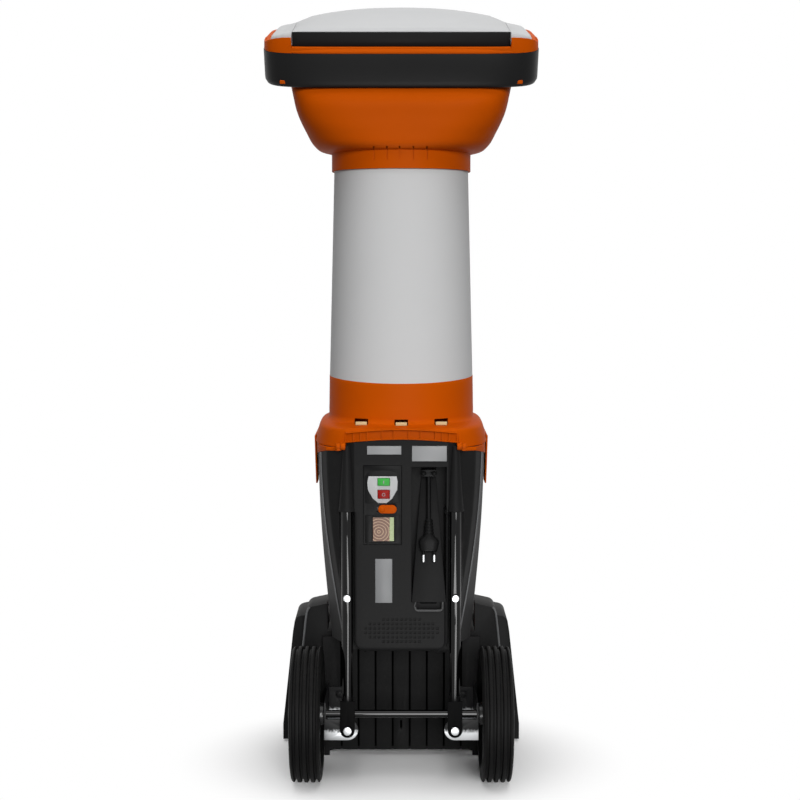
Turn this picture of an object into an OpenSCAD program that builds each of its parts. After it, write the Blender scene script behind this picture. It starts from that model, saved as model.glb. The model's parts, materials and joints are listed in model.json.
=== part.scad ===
// Electric garden shredder: a tall feed hopper on a wheeled base unit with a motor, a cutter disc and a chute.
// Millimetres. Z is up from the floor, X runs to the right of the operator, and Y points away from the
// operator, so the control panel and the wheels lie at negative Y and the discharge chute at positive Y.
// The hopper's centre line is the Z axis.

/* [Wheels] */
// Outer diameter of a tyre
wheel_d = 240; // [230:2:250]
// Width of a tyre
tyre_w = 54; // [50:1:58]
// Distance between the two wheel centres
track_w = 336; // [330:1:342]
// Height of the tyre's rubber section
tyre_h = 30; // [22:1:40]
// Diameter of the axle
axle_d = 14; // [12:1:16]
// Distance of the axle behind the hopper's centre line
axle_back = 175; // [172:1:182]

/* [Base] */
// Height of the deck that carries the body
deck_z = 235; // [228:1:250]
// Thickness of the deck
deck_t = 8; // [6:1:12]
// Half the width between the outer faces of the two side walls
base_half_w = 126; // [124:1:126]
// Wall thickness of the base
base_wall = 5; // [4:1:6]
// Ground clearance under the rear wall
base_clear = 12; // [8:1:20]
// Pitch of the planks on the rear wall
plank_pitch = 32; // [28:1:34]
// Width of the groove between two planks
plank_groove = 4; // [3:1:6]
// Height of the wheel fenders
fender_h = 293; // [285:1:300]
// Overall width across the feet
stance_w = 456; // [446:2:466]
// Distance of the feet's front ends ahead of the hopper's centre line
stance_front = 295; // [280:1:310]
// Wall thickness of the fenders
fender_wall = 4; // [3:0.5:5]
// Thickness of the rubber foot pads
pad_t = 5; // [3:1:8]
// Diameter of the rubber foot pads
pad_d = 26; // [20:1:30]

/* [Body] */
// Height of the body from the deck to its top edge
body_h = 365; // [350:1:380]
// Body width at the top
body_top_w = 310; // [306:1:314]
// Body width at the deck
body_bottom_w = 262; // [254:1:266]
// Width across the rear ridges at the top
ridge_top_w = 288; // [280:1:296]
// Width across the rear ridges at the deck
ridge_bottom_w = 202; // [196:1:206]
// Distance of the rear panel behind the centre line
rear_face = 185; // [183:1:190]
// Distance of the front of the body ahead of the centre line
front_face = 168; // [160:1:174]
// Width of the flat rear panel
panel_w = 166; // [162:1:168]
// Wall thickness of the body shells
shell_wall = 4; // [3:0.5:5]
// Side of the square ventilation holes
vent_size = 4.5; // [3:0.5:5]
// Spacing of the ventilation holes
vent_pitch = 8; // [7:0.5:10]

/* [Wheel tubes] */
// Outer diameter of the wheel tubes
tube_d = 20; // [18:1:22]
// Wall of the wheel tubes
tube_wall = 2; // [1.5:0.5:3]
// Distance between the two wheel tubes
tube_spacing = 192; // [190:1:196]
// Thickness of the flattened tube ends
paddle_t = 6; // [5:1:7]
// Outer diameter of the sleeves that hold the tubes
sleeve_d = 29; // [27:1:30]
// Length of the sleeves below the body's top edge
sleeve_h = 114; // [100:1:125]
// Thickness of the axle brackets
bracket_t = 3; // [2:0.5:4]

/* [Controls] */
// Sideways place of the control panel's middle
control_x = -33; // [-36:1:-32]
// Width of the control panel
control_w = 68; // [66:1:74]
// Height of the control panel
control_h = 142; // [140:1:150]
// Distance of the control panel below the body's top edge
control_drop = 30; // [28:1:34]
// Width of the start and stop buttons
button_w = 21; // [18:1:24]
// Height of the start button
start_h = 13; // [11:1:14]
// Height of the stop button
stop_h = 15; // [13:1:16]
// Travel of the start and stop buttons
button_travel = 3; // [2:0.5:3]
// Width of the direction lever's knob
lever_w = 33; // [28:1:34]
// Height of the direction lever's knob
lever_h = 15; // [12:1:16]
// Sideways travel of the direction lever
lever_travel = 12; // [8:1:12]
// Width of the material window
window_w = 37; // [30:1:40]
// Height of the material window
window_h = 43; // [36:1:44]

/* [Supply cord] */
// Sideways place of the cord niche's middle
niche_x = 49; // [48:1:50]
// Width of the cord niche
niche_w = 62; // [58:1:62]
// Depth of the cord niche
niche_depth = 52; // [48:1:54]
// Diameter of the supply cord
cord_d = 8; // [7:0.5:9]
// Spacing of the plug's two pins
pin_pitch = 19; // [18.5:0.5:19.5]
// Diameter of the plug's pins
pin_d = 4.8; // [4:0.2:4.8]
// Length of the plug's pins
pin_len = 19; // [17:1:20]

/* [Cutter] */
// Diameter of the cutter disc
disc_d = 230; // [216:2:232]
// Thickness of the cutter disc
disc_t = 8; // [6:1:10]
// Radial gap between the disc and its chamber
disc_gap = 5; // [3:0.5:5]
// Height of the cutter chamber
chamber_h = 90; // [80:1:100]
// Outer diameter of the motor
motor_d = 144; // [130:2:160]
// Diameter of the motor shaft
shaft_d = 18; // [15:1:20]
// Width of the discharge mouth
chute_w = 210; // [190:2:216]
// Height of the discharge mouth
chute_h = 90; // [80:1:100]

/* [Hopper] */
// Height of the collar between the body and the tube
collar_h = 113; // [105:1:125]
// Visible height of the tube
tube_h = 377; // [340:1:420]
// Width of the tube at its foot
tube_bottom_w = 265; // [258:1:270]
// Width of the tube at its top
tube_top_w = 246; // [240:1:252]
// Depth of the tube at its foot
tube_bottom_depth = 310; // [300:1:316]
// Depth of the tube at its top
tube_top_depth = 288; // [280:1:294]
// Wall thickness of the hopper's pieces
hopper_wall = 4; // [3:0.5:4.5]
// Height of the bowl's neck
neck_h = 34; // [30:1:40]
// Height of the bowl from its neck to the middle of the rim
bowl_h = 205; // [190:1:220]
// Width of the rim
rim_w = 495; // [480:1:510]
// Depth of the rim
rim_depth = 354; // [346:1:362]
// Tilt of the rim towards the operator, in degrees
rim_tilt = 14.5; // [12:0.5:16]
// Height of the band round the rim
band_h = 57; // [50:1:62]
// Width of the hinged feed lid
lid_w = 382; // [370:1:390]
// Thickness of the hood and the feed lid
hood_t = 4; // [3:0.5:4]
// Crown of the hood above its edge
hood_crown = 29; // [26:1:32]

/* [Hidden] */
$fn = 64;
facets = 60;

// Clearances
fit = 0.4;
run_fit = 0.05;
slide_fit = 0.5;

// Heights
body_top = deck_z + body_h;
axle_z = wheel_d / 2;
tube_z = body_top + collar_h;
neck_z = tube_z + tube_h;
rim_z = neck_z + neck_h + bowl_h;

// Base unit
wheel_gap = 15;
wall_back = axle_back - wheel_d / 2 - wheel_gap;
wall_half_w = base_half_w + 20;
fender_back = wall_back - 25;
base_front = 150;
split_y = 12;
split_gap = 0.3;
rear_inset = 2.5;

// Wheel tubes and axle brackets
tube_gap = 2;
paddle_rear = axle_back + axle_d / 2 + tube_gap + paddle_t;
paddle_front = paddle_rear - paddle_t;
tube_back = paddle_rear - tube_d / 2;
tube_x = tube_spacing / 2;
tube_foot_z = axle_z + axle_d / 2 + 7;
tube_insert = 40;
sleeve_z = body_top - sleeve_h;
sleeve_top = body_top - 4;
paddle_r = 13;
low_bolt_z = axle_z - 27;
low_bolt_d = 8;
high_bolt_d = 6;
high_bolt_z = deck_z + 98;
channel_y = tube_back - tube_d / 2 - 5;
wheel_inner = (track_w - tyre_w) / 2;
wheel_outer = (track_w + tyre_w) / 2;
web_x = wheel_inner - 3;
hub_inner = web_x + 0.6;
hub_outer = wheel_outer - 0.5;
bracket_r = 19;
bracket_z = low_bolt_z - bracket_r;
tab_bolt_x = (tube_x + web_x - bracket_t) / 2;
tab_bolt_z = low_bolt_z + 25;
tab_bolt_h = 12;

// Rear panel
panel_half = panel_w / 2;
panel_y = -rear_face;
recess = 8;
ledge = 5;
control_z1 = body_top - control_drop;
control_z0 = control_z1 - control_h;
insert_t = 6;
insert_y = panel_y + 2;
plate_proud = 0.6;
shield_w = 54;
shield_h = 48;
shield_t = 2.5;
shield_z = control_z1 - 20;
start_z = shield_z - 10;
stop_z = start_z - start_h / 2 - 8 - stop_h / 2;
button_proud = 3.5;
button_back = insert_y + insert_t + 0.5;
lever_x = control_x + 8.5;
lever_z = control_z0 + 64;
lever_proud = 7;
lever_stem_w = 12;
lever_stem_h = 8;
window_z = control_z0 + 28;
window_t = 1.5;
label_t = 0.8;
box_gap = 30;

// Cord niche
niche_z1 = body_top - 33;
niche_z0 = body_top - 293;
niche_y = panel_y + niche_depth;
ramp_z1 = niche_z1 - 22;
ramp_z0 = niche_z0 + 18;
ramp_in = niche_y - 2;
ramp_out = panel_y - 2;
loop_bar = 5;
gland_half = 13;
loop_z = niche_z0 + 0.5;
loop_half = 26;

// The cord's centre line, from the gland down the ramp to the plug
cord_route = [
    [49, -147, 546], [49, -147.2, 542], [49, -147.6, 538], [49, -148.2, 534], [49, -148.9, 530],
    [49, -149.7, 526], [49, -150.6, 522], [49, -151.5, 518], [49, -152.5, 514], [49, -153.5, 510],
    [49, -154.5, 506], [49, -155.5, 502], [49, -156.5, 498], [49, -157.5, 494], [49, -158.5, 490],
    [49, -159.5, 486], [49, -160.5, 482], [49, -161.5, 478], [49, -162.5, 474], [49, -163.5, 470]
];
cord_sides = 10;
cord_start = cord_route[0];
cord_end = cord_route[len(cord_route) - 1];
cord_lean = atan((cord_route[len(cord_route) - 2][1] - cord_end[1])
               / (cord_route[len(cord_route) - 2][2] - cord_end[2]));
plug_neck_h = 30;
plug_body_h = 27;
plug_body_w = 36;
plug_body_t = 20;

// Cutter and motor
chamber_r = disc_d / 2 + disc_gap;
chamber_wall = 4;
cover_t = 8;
chamber_z1 = body_top - 2 - cover_t;
chamber_z0 = chamber_z1 - chamber_h;
chamber_floor = 6;
disc_z = chamber_z0 + 40;
blade_in = 36;
blade_edge = 8;
blade_w = 34;
blade_t = 5;
chip_slot_w = 18;
motor_r = motor_d / 2;
motor_wall = 5;
motor_z1 = chamber_z0;
motor_z0 = deck_z + shell_wall + 12;
bearing_r = shaft_d / 2 + 9;
bearing_t = 12;
stator_h = 110;
stator_z = motor_z0 + 62;
stator_bore = 42;
air_gap = 0.8;
spout_half = 70;
spout_h = 66;
spout_y = chamber_r + chamber_wall + 6;

// Hopper
skirt_a = body_top_w / 2 + hopper_wall + 0.8;
skirt_b = rear_face + 8;
collar_gap = 0.6;
collar_z = body_top + collar_gap;
spigot_h = 22;
socket_h = 20;
tube_a0 = tube_bottom_w / 2;
tube_b0 = tube_bottom_depth / 2;
tube_a1 = tube_top_w / 2;
tube_b1 = tube_top_depth / 2;
neck_a = tube_a1 + fit + hopper_wall;
neck_b = tube_b1 + fit + hopper_wall;
rim_a = rim_w / 2;
rim_b = rim_depth / 2;
rim_n = 6.5;
hood_n = 7;
rim_lip = 12;
rim_slope = 10;
rim_wall = 26;
rim_wall_t = 3;
band_t = 4;
hinge_r = 6;
hinge_pin_d = 6;
hinge_y = -(skirt_b + 1);
hinge_z = body_top + 4;
hinge_x = tube_x + 6;
hinge_w = 8;
knuckle_x = hinge_x + hinge_w;
knuckle_half = hinge_w / 2 - 0.5;
crest_half = tube_x + 1.5;
knob_d = 34;
knob_h = 22;
stud_d = 10;
boss_r = 14;
knob_y = skirt_b - boss_r + 2;
rib_places = [13, 34, 60, 71.5, 84];
slot_w = 24;
slot_h = 10;
slot_x = 71;
slot_z = body_top + 43;

// Hood and feed lid, in the rim's own tilted frame
hood_a = rim_a - rim_slope - 2;
hood_front = rim_b - rim_slope - 5;
hood_edge = 29;
hood_fall = 0.04;
lid_back = rim_b - 25;
lid_front = hood_front - 68;
lid_gap = 0.8;
crown_a = 212;
crown_b = 122;
lid_pin_d = 4;
lid_knuckle_r = 4;
lid_hinge_x = 52;
lid_hinge_y = lid_front + lid_knuckle_r + 1.2;
lid_hinge_w = hood_height(lid_hinge_x, lid_hinge_y) + 1.5;
knuckle_w = 12;
lip_t = 6;
lip_inset = 0.5;
hood_top = 2 * (hood_edge + hood_crown);

// Colours
black_plastic = [0.055, 0.055, 0.06];
dark_grey = [0.2, 0.2, 0.21];
orange_plastic = [0.85, 0.27, 0.05];
grey_plastic = [0.62, 0.64, 0.66];
pale_plastic = [0.8, 0.81, 0.82];
light_grey = [0.7, 0.7, 0.7];
cream_plastic = [0.86, 0.8, 0.66];
rubber_black = [0.04, 0.04, 0.04];
steel = [0.66, 0.67, 0.69];
tube_black = [0.07, 0.07, 0.075];
green_plastic = [0.1, 0.5, 0.2];
red_plastic = [0.75, 0.08, 0.07];
brown_print = [0.36, 0.22, 0.12];
copper_brown = [0.5, 0.28, 0.15];

// Shape helpers

function blend(a, b, t) = a + (b - a) * t;

// Points of an oval between an ellipse and a rounded rectangle
function oval(a, b, n) = [
    for (i = [0 : facets - 1])
        let (t = 360 * i / facets)
        let (r = pow(pow(abs(cos(t)) / a, n) + pow(abs(sin(t)) / b, n), -1 / n))
        [r * cos(t), r * sin(t)]
];

// One oval, w above a plane through height z that is tilted towards the operator
function tilted_oval(a, b, n, z, w, tilt) = [
    for (p = oval(a, b, n))
        [p[0], p[1] * cos(tilt) - w * sin(tilt), z + p[1] * sin(tilt) + w * cos(tilt)]
];

// A level oval
function flat_oval(a, b, n, z) = tilted_oval(a, b, n, z, 0, 0);

// Faces between rings of f points, from ring i to ring k
function band_faces(i, k, f) = [
    for (j = [0 : f - 1])
        let (l = (j + 1) % f)
        each [
            [i * f + j, k * f + j, k * f + l],
            [i * f + j, k * f + l, i * f + l]
        ]
];

// A solid hoop whose rings run round its section and close on themselves
module hoop(rings) {
    m = len(rings);
    f = len(rings[0]);
    polyhedron(
        points = [for (r = rings) each r],
        faces = [for (i = [0 : m - 1]) each band_faces(i, (i + 1) % m, f)]
    );
}

// A solid stack of convex rings with flat ends
module loft(rings) {
    m = len(rings);
    f = len(rings[0]);
    top = (m - 1) * f;
    polyhedron(
        points = [for (r = rings) each r],
        faces = concat(
            [for (i = [0 : m - 2]) each band_faces(i, i + 1, f)],
            [for (j = [1 : f - 2]) [0, j, j + 1]],
            [for (j = [1 : f - 2]) [top, top + j + 1, top + j]]
        )
    );
}

// A standing wall: each level runs along the outer path and back along the inner path
module wall_stack(levels) {
    m = len(levels);
    f = len(levels[0]);
    h = f / 2;
    top = (m - 1) * f;
    polyhedron(
        points = [for (r = levels) each r],
        faces = concat(
            [for (i = [0 : m - 2]) each band_faces(i, i + 1, f)],
            [for (j = [0 : h - 2]) each [[j, j + 1, f - 2 - j], [j, f - 2 - j, f - 1 - j]]],
            [for (j = [0 : h - 2]) each [
                [top + j, top + f - 2 - j, top + j + 1],
                [top + j, top + f - 1 - j, top + f - 2 - j]
            ]]
        )
    );
}

function reversed(path) = [for (i = [len(path) - 1 : -1 : 0]) path[i]];
function mirrored(path) = [for (p = path) [-p[0], p[1]]];
function at_height(path, z) = [for (p = path) [p[0], p[1], z]];
function wall_level(outer, inner, z) = concat(at_height(outer, z), at_height(reversed(inner), z));

// A block given by its lowest and its highest corner
module block(low, high) {
    translate(low)
        cube(high - low);
}

// A round bar along X, from x0 to x1
module bar_x(r, x0, x1, y, z) {
    translate([x0, y, z])
        rotate([0, 90, 0])
            cylinder(r = r, h = x1 - x0);
}

// A round bar along Y, from y0 to y1
module bar_y(r, x, y0, y1, z) {
    translate([x, y1, z])
        rotate([90, 0, 0])
            cylinder(r = r, h = y1 - y0);
}

// A round bar along Z, from z0 to z1
module bar_z(r, x, y, z0, z1) {
    translate([x, y, z0])
        cylinder(r = r, h = z1 - z0);
}

// A flat piece on the rear panel: its outline in X and Z, from y_front inwards
module panel_piece(x, y_front, z, t) {
    translate([x, y_front + t, z])
        rotate([90, 0, 0])
            linear_extrude(t)
                children();
}

// Places its children in the tilted frame of the rim
module at_rim() {
    translate([0, 0, rim_z])
        rotate([rim_tilt, 0, 0])
            children();
}

// Body outline

function body_curve(z) = sin(90 * min(1, max(0, (z - deck_z) / body_h)));
function side_x(z) = blend(body_bottom_w, body_top_w, body_curve(z)) / 2;
function ridge_x(z) = blend(ridge_bottom_w, ridge_top_w, body_curve(z)) / 2;
function cheek_x(z) = max(ridge_x(z) - 12, panel_half + 6);
function lip_x(z) = min(tube_x + sleeve_d / 2, cheek_x(z) - 1);
function cheek_y(x, z) = panel_y + 27 * (x - panel_half) / (cheek_x(z) - panel_half);

// Depth of the rear outline beside the panel, at x: on the cheek, or on the floor of the tube's channel
function flank_y(x, z, channel) = channel ? -channel_y : cheek_y(x, z);

// Right half of the rear outline, moved inwards by t; channel is true where the wheel tube lies open
function rear_half(z, t, channel) = [
    [panel_half - t, panel_y + t],
    [panel_half + 1.5 - t, t + flank_y(panel_half + 1.5, z, channel)],
    [lip_x(z) - 1.5 - t, t + flank_y(lip_x(z) - 1.5, z, channel)],
    [lip_x(z) - t, t + cheek_y(lip_x(z), z)],
    [cheek_x(z) - t, panel_y + 27 + t],
    [ridge_x(z) - t, panel_y + 57 + t / 2],
    [side_x(z) - rear_inset - 1 - t, panel_y + 115],
    [side_x(z) - rear_inset - t, split_y]
];

// Right half of the front outline
function front_half(z, t) = [
    [side_x(z) - t, split_y + split_gap],
    [side_x(z) - 1.5 - t, 60],
    [side_x(z) - 18 - 0.9 * t, front_face - 53 - 0.5 * t],
    [side_x(z) - 52 - 0.5 * t, front_face - 18 - 0.9 * t],
    [0.35 * side_x(z), front_face - 1.5 - t]
];

// Height of the rear panel's arched crest at x, where it stands up under the collar
function crest_z(x) = body_top + 15 - 7 * pow(x / crest_half, 2);

// Right half of the crest's line, moved inwards by t
function crest_line(t) = concat(
    [for (x = [12, 40, 62, panel_half]) [x, panel_y + t]],
    [[crest_half, cheek_y(crest_half, body_top) + t]]
);

// Line of the right corner rail at height z, on the rear shell's face, or on the rail's own where out is 1
function rail_line(z, out) = [
    [knuckle_x - hinge_w / 2, cheek_y(knuckle_x - hinge_w / 2, z) - 3 * out],
    [cheek_x(z) + 1.2 * out, panel_y + 27 - 2.6 * out],
    [ridge_x(z) + 2.2 * out, panel_y + 57 - 1.2 * out],
    [side_x(z) - rear_inset - 1 + 2.1 * out, panel_y + 115],
    [side_x(z) - rear_inset + 1.9 * out, split_y],
    [side_x(z) - rear_inset + 1.7 * out, split_y + 3]
];
rail_drop = [6, 7, 13, 22, 24, 24];
function rail_foot(out) = [
    for (i = [0 : 5])
        let (p = rail_line(body_top - rail_drop[i], out)[i])
        [p[0], p[1], body_top - rail_drop[i]]
];

function rear_path(half) = concat(reversed(mirrored(half)), half);
function front_path(half) = concat(half, reversed(mirrored(half)));

// Heights of the rear outline, each with the state of the channel on the outer and on the inner face
rear_levels = concat(
    [for (t = [0, 0.2, 0.4, 0.6, 0.8, 1]) [blend(deck_z, sleeve_z, t), true, true]],
    [[sleeve_z + 1, false, true], [sleeve_z + 4, false, true], [sleeve_z + 5, false, false]],
    [for (t = [0.5, 1]) [blend(sleeve_z, body_top, t), false, false]]
);
front_levels = [for (t = [0, 0.15, 0.3, 0.45, 0.6, 0.8, 1]) blend(deck_z, body_top, t)];

// Base

module base_chassis() {
    color(black_plastic) difference() {
        union() {
            block([-base_half_w, -wall_back, deck_z - deck_t], [base_half_w, base_front, deck_z]);
            block([-wall_half_w, -wall_back, base_clear], [wall_half_w, -wall_back + 6, deck_z - deck_t]);
            for (s = [-1, 1]) {
                block(
                    [s > 0 ? base_half_w - base_wall : -base_half_w, -wall_back, base_clear],
                    [s > 0 ? base_half_w : base_wall - base_half_w, base_front, deck_z - deck_t / 2]
                );
                block(
                    [s > 0 ? wall_half_w - 12 : -wall_half_w, -wall_back, 1],
                    [s > 0 ? wall_half_w : 12 - wall_half_w, -wall_back + 6, base_clear + 1]
                );
            }
            block(
                [-base_half_w, base_front - 6, deck_z - 60],
                [base_half_w, base_front, deck_z - deck_t / 2]
            );
        }
        for (i = [-3.5 : 1 : 3.5])
            translate([i * plank_pitch - plank_groove / 2, -wall_back - 1, -1])
                cube([plank_groove, 3, deck_z - deck_t - 6]);
        translate([-2, -wall_back - 1, 52])
            cube([4, 8, 16]);
        for (s = [-1, 1])
            bar_y(
                high_bolt_d / 2 + 0.2, s * tab_bolt_x,
                -wall_back - 1, tab_bolt_h + 1 - wall_back, tab_bolt_z
            );
    }
}

// One wheel fender, moved inwards by t
module fender_block(t) {
    in = base_half_w + t;
    low = pad_t - (t > 0 ? 1 : 0);
    hull() {
        block([in, t - fender_back, low], [stance_w / 2 - 16 - t, 60 - t, low + 1]);
        block([in, t - fender_back, fender_h - 30], [179 - t, 70 - t, fender_h - 29]);
        bar_y(13, 166 - t, t - fender_back, 70 - t, fender_h - 15 - t);
        bar_y(13, in + 14, t - fender_back, 70 - t, fender_h - 13 - t);
    }
    hull() {
        block([in, 48 + t, low], [stance_w / 2 - t, stance_front - t, low + 30 - t]);
        block([in, 48 + t, fender_h - 77], [stance_w / 2 - 20 - t, 175 - t, fender_h - 76]);
        bar_y(17, stance_w / 2 - 40 - t, 48 + t, 165 - t, fender_h - 55 - t);
        bar_y(17, in + 17, 48 + t, 165 - t, fender_h - 48 - t);
    }
}

module fender_bosses() {
    bar_z(pad_d / 2, base_half_w + pad_d / 2 + 1, pad_d / 2 - fender_back + 2, pad_t, pad_t + 40);
    bar_z(pad_d / 2, stance_w / 2 - pad_d / 2 - 2, stance_front - pad_d / 2 - 2, pad_t, pad_t + 12);
}

// Space beside the body that the fenders leave free, grown by t
module body_recess(t) {
    block([0, -fender_back - 1, deck_z - 1 - t], [side_x(fender_h) + 1.5 + t, stance_front, fender_h + 1]);
}

module fender() {
    difference() {
        fender_block(0);
        difference() {
            fender_block(fender_wall);
            body_recess(fender_wall);
        }
        body_recess(0);
    }
    fender_bosses();
}

module right_fender() {
    color(black_plastic) fender();
}

module left_fender() {
    color(black_plastic) mirror([1, 0, 0]) fender();
}

module foot_pads() {
    color(rubber_black) for (s = [-1, 1]) {
        bar_z(pad_d / 2 - 1, s * (base_half_w + pad_d / 2 + 1), pad_d / 2 - fender_back + 2, 0, pad_t);
        bar_z(pad_d / 2 - 1, s * (stance_w / 2 - pad_d / 2 - 2), stance_front - pad_d / 2 - 2, 0, pad_t);
    }
}

// Body shells

// The rear panel's arched crest
module panel_crest() {
    outer = rear_path(crest_line(0.4));
    inner = rear_path(crest_line(shell_wall - 0.4));
    wall_stack([
        wall_level(outer, inner, body_top - 3),
        [for (p = concat(outer, reversed(inner))) [p[0], p[1], crest_z(p[0])]]
    ]);
}

module rear_housing() {
    niche_right = min(niche_x + niche_w / 2 + shell_wall, panel_half - 0.6);
    control_half = control_w / 2;
    color(black_plastic) difference() {
        union() {
            wall_stack([
                for (l = rear_levels)
                    wall_level(
                        rear_path(rear_half(l[0], 0, l[1])),
                        rear_path(rear_half(l[0], shell_wall, l[2])),
                        l[0]
                    )
            ]);
            translate([0, 0, deck_z])
                linear_extrude(shell_wall)
                    polygon(rear_path(rear_half(deck_z, shell_wall / 2, true)));
            block(
                [niche_x - niche_w / 2 - shell_wall, panel_y + 1, niche_z0 - shell_wall],
                [niche_right, niche_y + shell_wall, niche_z1 + shell_wall]
            );
            block(
                [control_x - control_half - shell_wall, panel_y + 1, control_z0 - shell_wall],
                [
                    control_x + control_half + shell_wall,
                    panel_y + recess + shell_wall,
                    control_z1 + shell_wall
                ]
            );
            for (s = [-1, 1]) {
                translate([s * tube_x, -tube_back, sleeve_z - 4])
                    cylinder(r1 = sleeve_d / 2, r2 = sleeve_d / 4, h = sleeve_top - sleeve_z + 4);
            }
            panel_crest();
        }
        block(
            [niche_x - niche_w / 2, panel_y - 1, niche_z0],
            [niche_x + niche_w / 2, niche_y, niche_z1]
        );
        block(
            [control_x - control_half, panel_y - 1, control_z0],
            [control_x + control_half, panel_y + recess, control_z1]
        );
        block(
            [control_x - control_half + ledge, panel_y, control_z0 + ledge],
            [control_x + control_half - ledge, panel_y + recess + 2 * shell_wall, control_z1 - ledge]
        );
        for (s = [-1, 1]) {
            bar_z(tube_d / 2 + 0.2, s * tube_x, -tube_back, sleeve_z - 5, sleeve_z + tube_insert);
            bar_y(high_bolt_d / 2 + 0.1, s * tube_x, -channel_y - 2, -channel_y + 12, high_bolt_z);
        }
        for (row = [0 : 4])
            for (i = [-7 : 7])
                if (pow(i / 7.4, 2) + pow((row - 2) / 2.6, 2) < 1)
                    translate([
                        i * vent_pitch - 4 - vent_size / 2,
                        panel_y - 1,
                        deck_z + 16 + row * vent_pitch - vent_size / 2
                    ])
                        cube([vent_size, shell_wall + 2, vent_size]);
    }
}

// The discharge chute's outer or inner space, grown by t
module chute_space(t) {
    hull() {
        block(
            [-spout_half - t, spout_y - (t < 0 ? 1 : 0), chamber_z0 - t + chamber_floor],
            [spout_half + t, spout_y + 1, chamber_z0 + t + spout_h]
        );
        block(
            [-chute_w / 2 + hopper_wall - t, stance_front - 7, deck_z + 24 - t],
            [chute_w / 2 - hopper_wall + t, stance_front - 5 + (t <= 0 ? 1 : 0), deck_z + 16 + t + chute_h]
        );
    }
}

// The front shell's rail over the rear shell's right corner, with the hopper hinge's knuckle
module corner_rail() {
    wall_stack([
        concat(rail_foot(1), reversed(rail_foot(0))),
        wall_level(rail_line(body_top, 1), rail_line(body_top, 0), body_top)
    ]);
    block(
        [knuckle_x - knuckle_half, hinge_y - hinge_r, body_top - 8],
        [knuckle_x + knuckle_half, cheek_y(knuckle_x, body_top) - 2, body_top]
    );
    bar_x(hinge_r, knuckle_x - knuckle_half, knuckle_x + knuckle_half, hinge_y, hinge_z);
}

module front_shell() {
    color(orange_plastic) difference() {
        union() {
            wall_stack([
                for (z = front_levels)
                    wall_level(front_path(front_half(z, 0)), front_path(front_half(z, shell_wall)), z)
            ]);
            bar_z(boss_r, 0, knob_y, body_top - 42, body_top);
            block([-boss_r, front_face - 3, body_top - 42], [boss_r, knob_y, body_top]);
            corner_rail();
            mirror([1, 0, 0]) corner_rail();
        }
        bar_x(hinge_pin_d / 2 + run_fit, -hinge_x - 20, hinge_x + 20, hinge_y, hinge_z);
        chute_space(hopper_wall + 1.5);
        bar_z(stud_d / 2 + 2.6, 0, knob_y, body_top - 32, body_top + 1);
    }
}

module cutter_deck() {
    color(dark_grey) difference() {
        translate([0, 0, chamber_z1])
            linear_extrude(cover_t)
                polygon(concat(
                    rear_path(rear_half(chamber_z1, shell_wall + 1, false)),
                    front_path(front_half(chamber_z1, shell_wall + 1))
                ));
        bar_z(chamber_r - 2, 0, 0, chamber_z1 - 1, chamber_z1 + cover_t + 1);
        for (s = [-1, 1])
            bar_z(sleeve_d / 2 + 1, s * tube_x, -tube_back, chamber_z1 - 1, chamber_z1 + cover_t + 1);
    }
}

// Cutter unit

module cutter_chamber() {
    color(dark_grey) difference() {
        union() {
            bar_z(chamber_r + chamber_wall, 0, 0, chamber_z0, chamber_z1);
            block(
                [-spout_half - chamber_wall, 0, chamber_z0],
                [spout_half + chamber_wall, spout_y, chamber_z0 + spout_h + chamber_wall]
            );
        }
        bar_z(chamber_r, 0, 0, chamber_z0 + chamber_floor, chamber_z1 + 1);
        block(
            [-spout_half, 0, chamber_z0 + chamber_floor],
            [spout_half, spout_y + 1, chamber_z0 + spout_h]
        );
        bar_z(shaft_d / 2 + 8, 0, 0, chamber_z0 - 1, chamber_z0 + chamber_floor + 1);
    }
}

module counter_blade() {
    reach = sqrt(pow(chamber_r, 2) - 100) - 0.2;
    color(steel)
        block([-reach, -10, disc_z + disc_t + 8], [-reach + 44, 10, disc_z + disc_t + 20]);
}

module discharge_chute() {
    color(black_plastic) difference() {
        chute_space(hopper_wall);
        chute_space(0);
    }
}

module motor_can() {
    color(dark_grey) difference() {
        bar_z(motor_r, 0, 0, motor_z0, motor_z1);
        bar_z(motor_r - motor_wall, 0, 0, motor_z0 - 1, motor_z1 - 2 * bearing_t);
        bar_z(bearing_r + 0.02, 0, 0, motor_z1 - 2 * bearing_t - 1, motor_z1 - bearing_t);
        bar_z(shaft_d / 2 + 2, 0, 0, motor_z1 - bearing_t - 1, motor_z1 + 1);
        for (i = [0 : 11])
            rotate([0, 0, 30 * i])
                block([motor_r - 2 * motor_wall, -5, motor_z0 + 20], [motor_r + 1, 5, motor_z0 + 50]);
    }
}

module motor_end_cap() {
    color(steel) difference() {
        bar_z(motor_r - motor_wall - 0.05, 0, 0, motor_z0, motor_z0 + bearing_t + 3);
        bar_z(bearing_r + 0.02, 0, 0, motor_z0 + 3, motor_z0 + bearing_t + 4);
        bar_z(shaft_d / 2 + 2, 0, 0, motor_z0 - 1, motor_z0 + 4);
    }
}

module motor_stator() {
    color(copper_brown) difference() {
        bar_z(motor_r - motor_wall - 0.05, 0, 0, stator_z, stator_z + stator_h);
        bar_z(stator_bore, 0, 0, stator_z - 1, stator_z + stator_h + 1);
    }
}

module bearing(z) {
    difference() {
        bar_z(bearing_r, 0, 0, z, z + bearing_t);
        bar_z(shaft_d / 2 + run_fit, 0, 0, z - 1, z + bearing_t + 1);
    }
}

module shaft_bearings() {
    color(steel) {
        bearing(motor_z0 + 3);
        bearing(motor_z1 - 2 * bearing_t);
    }
}

module motor_shaft() {
    color(steel) {
        bar_z(shaft_d / 2, 0, 0, motor_z0 + 3, disc_z + disc_t + 3);
        bar_z(shaft_d / 2 + 6, 0, 0, chamber_z0 + 2, disc_z);
    }
}

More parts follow.
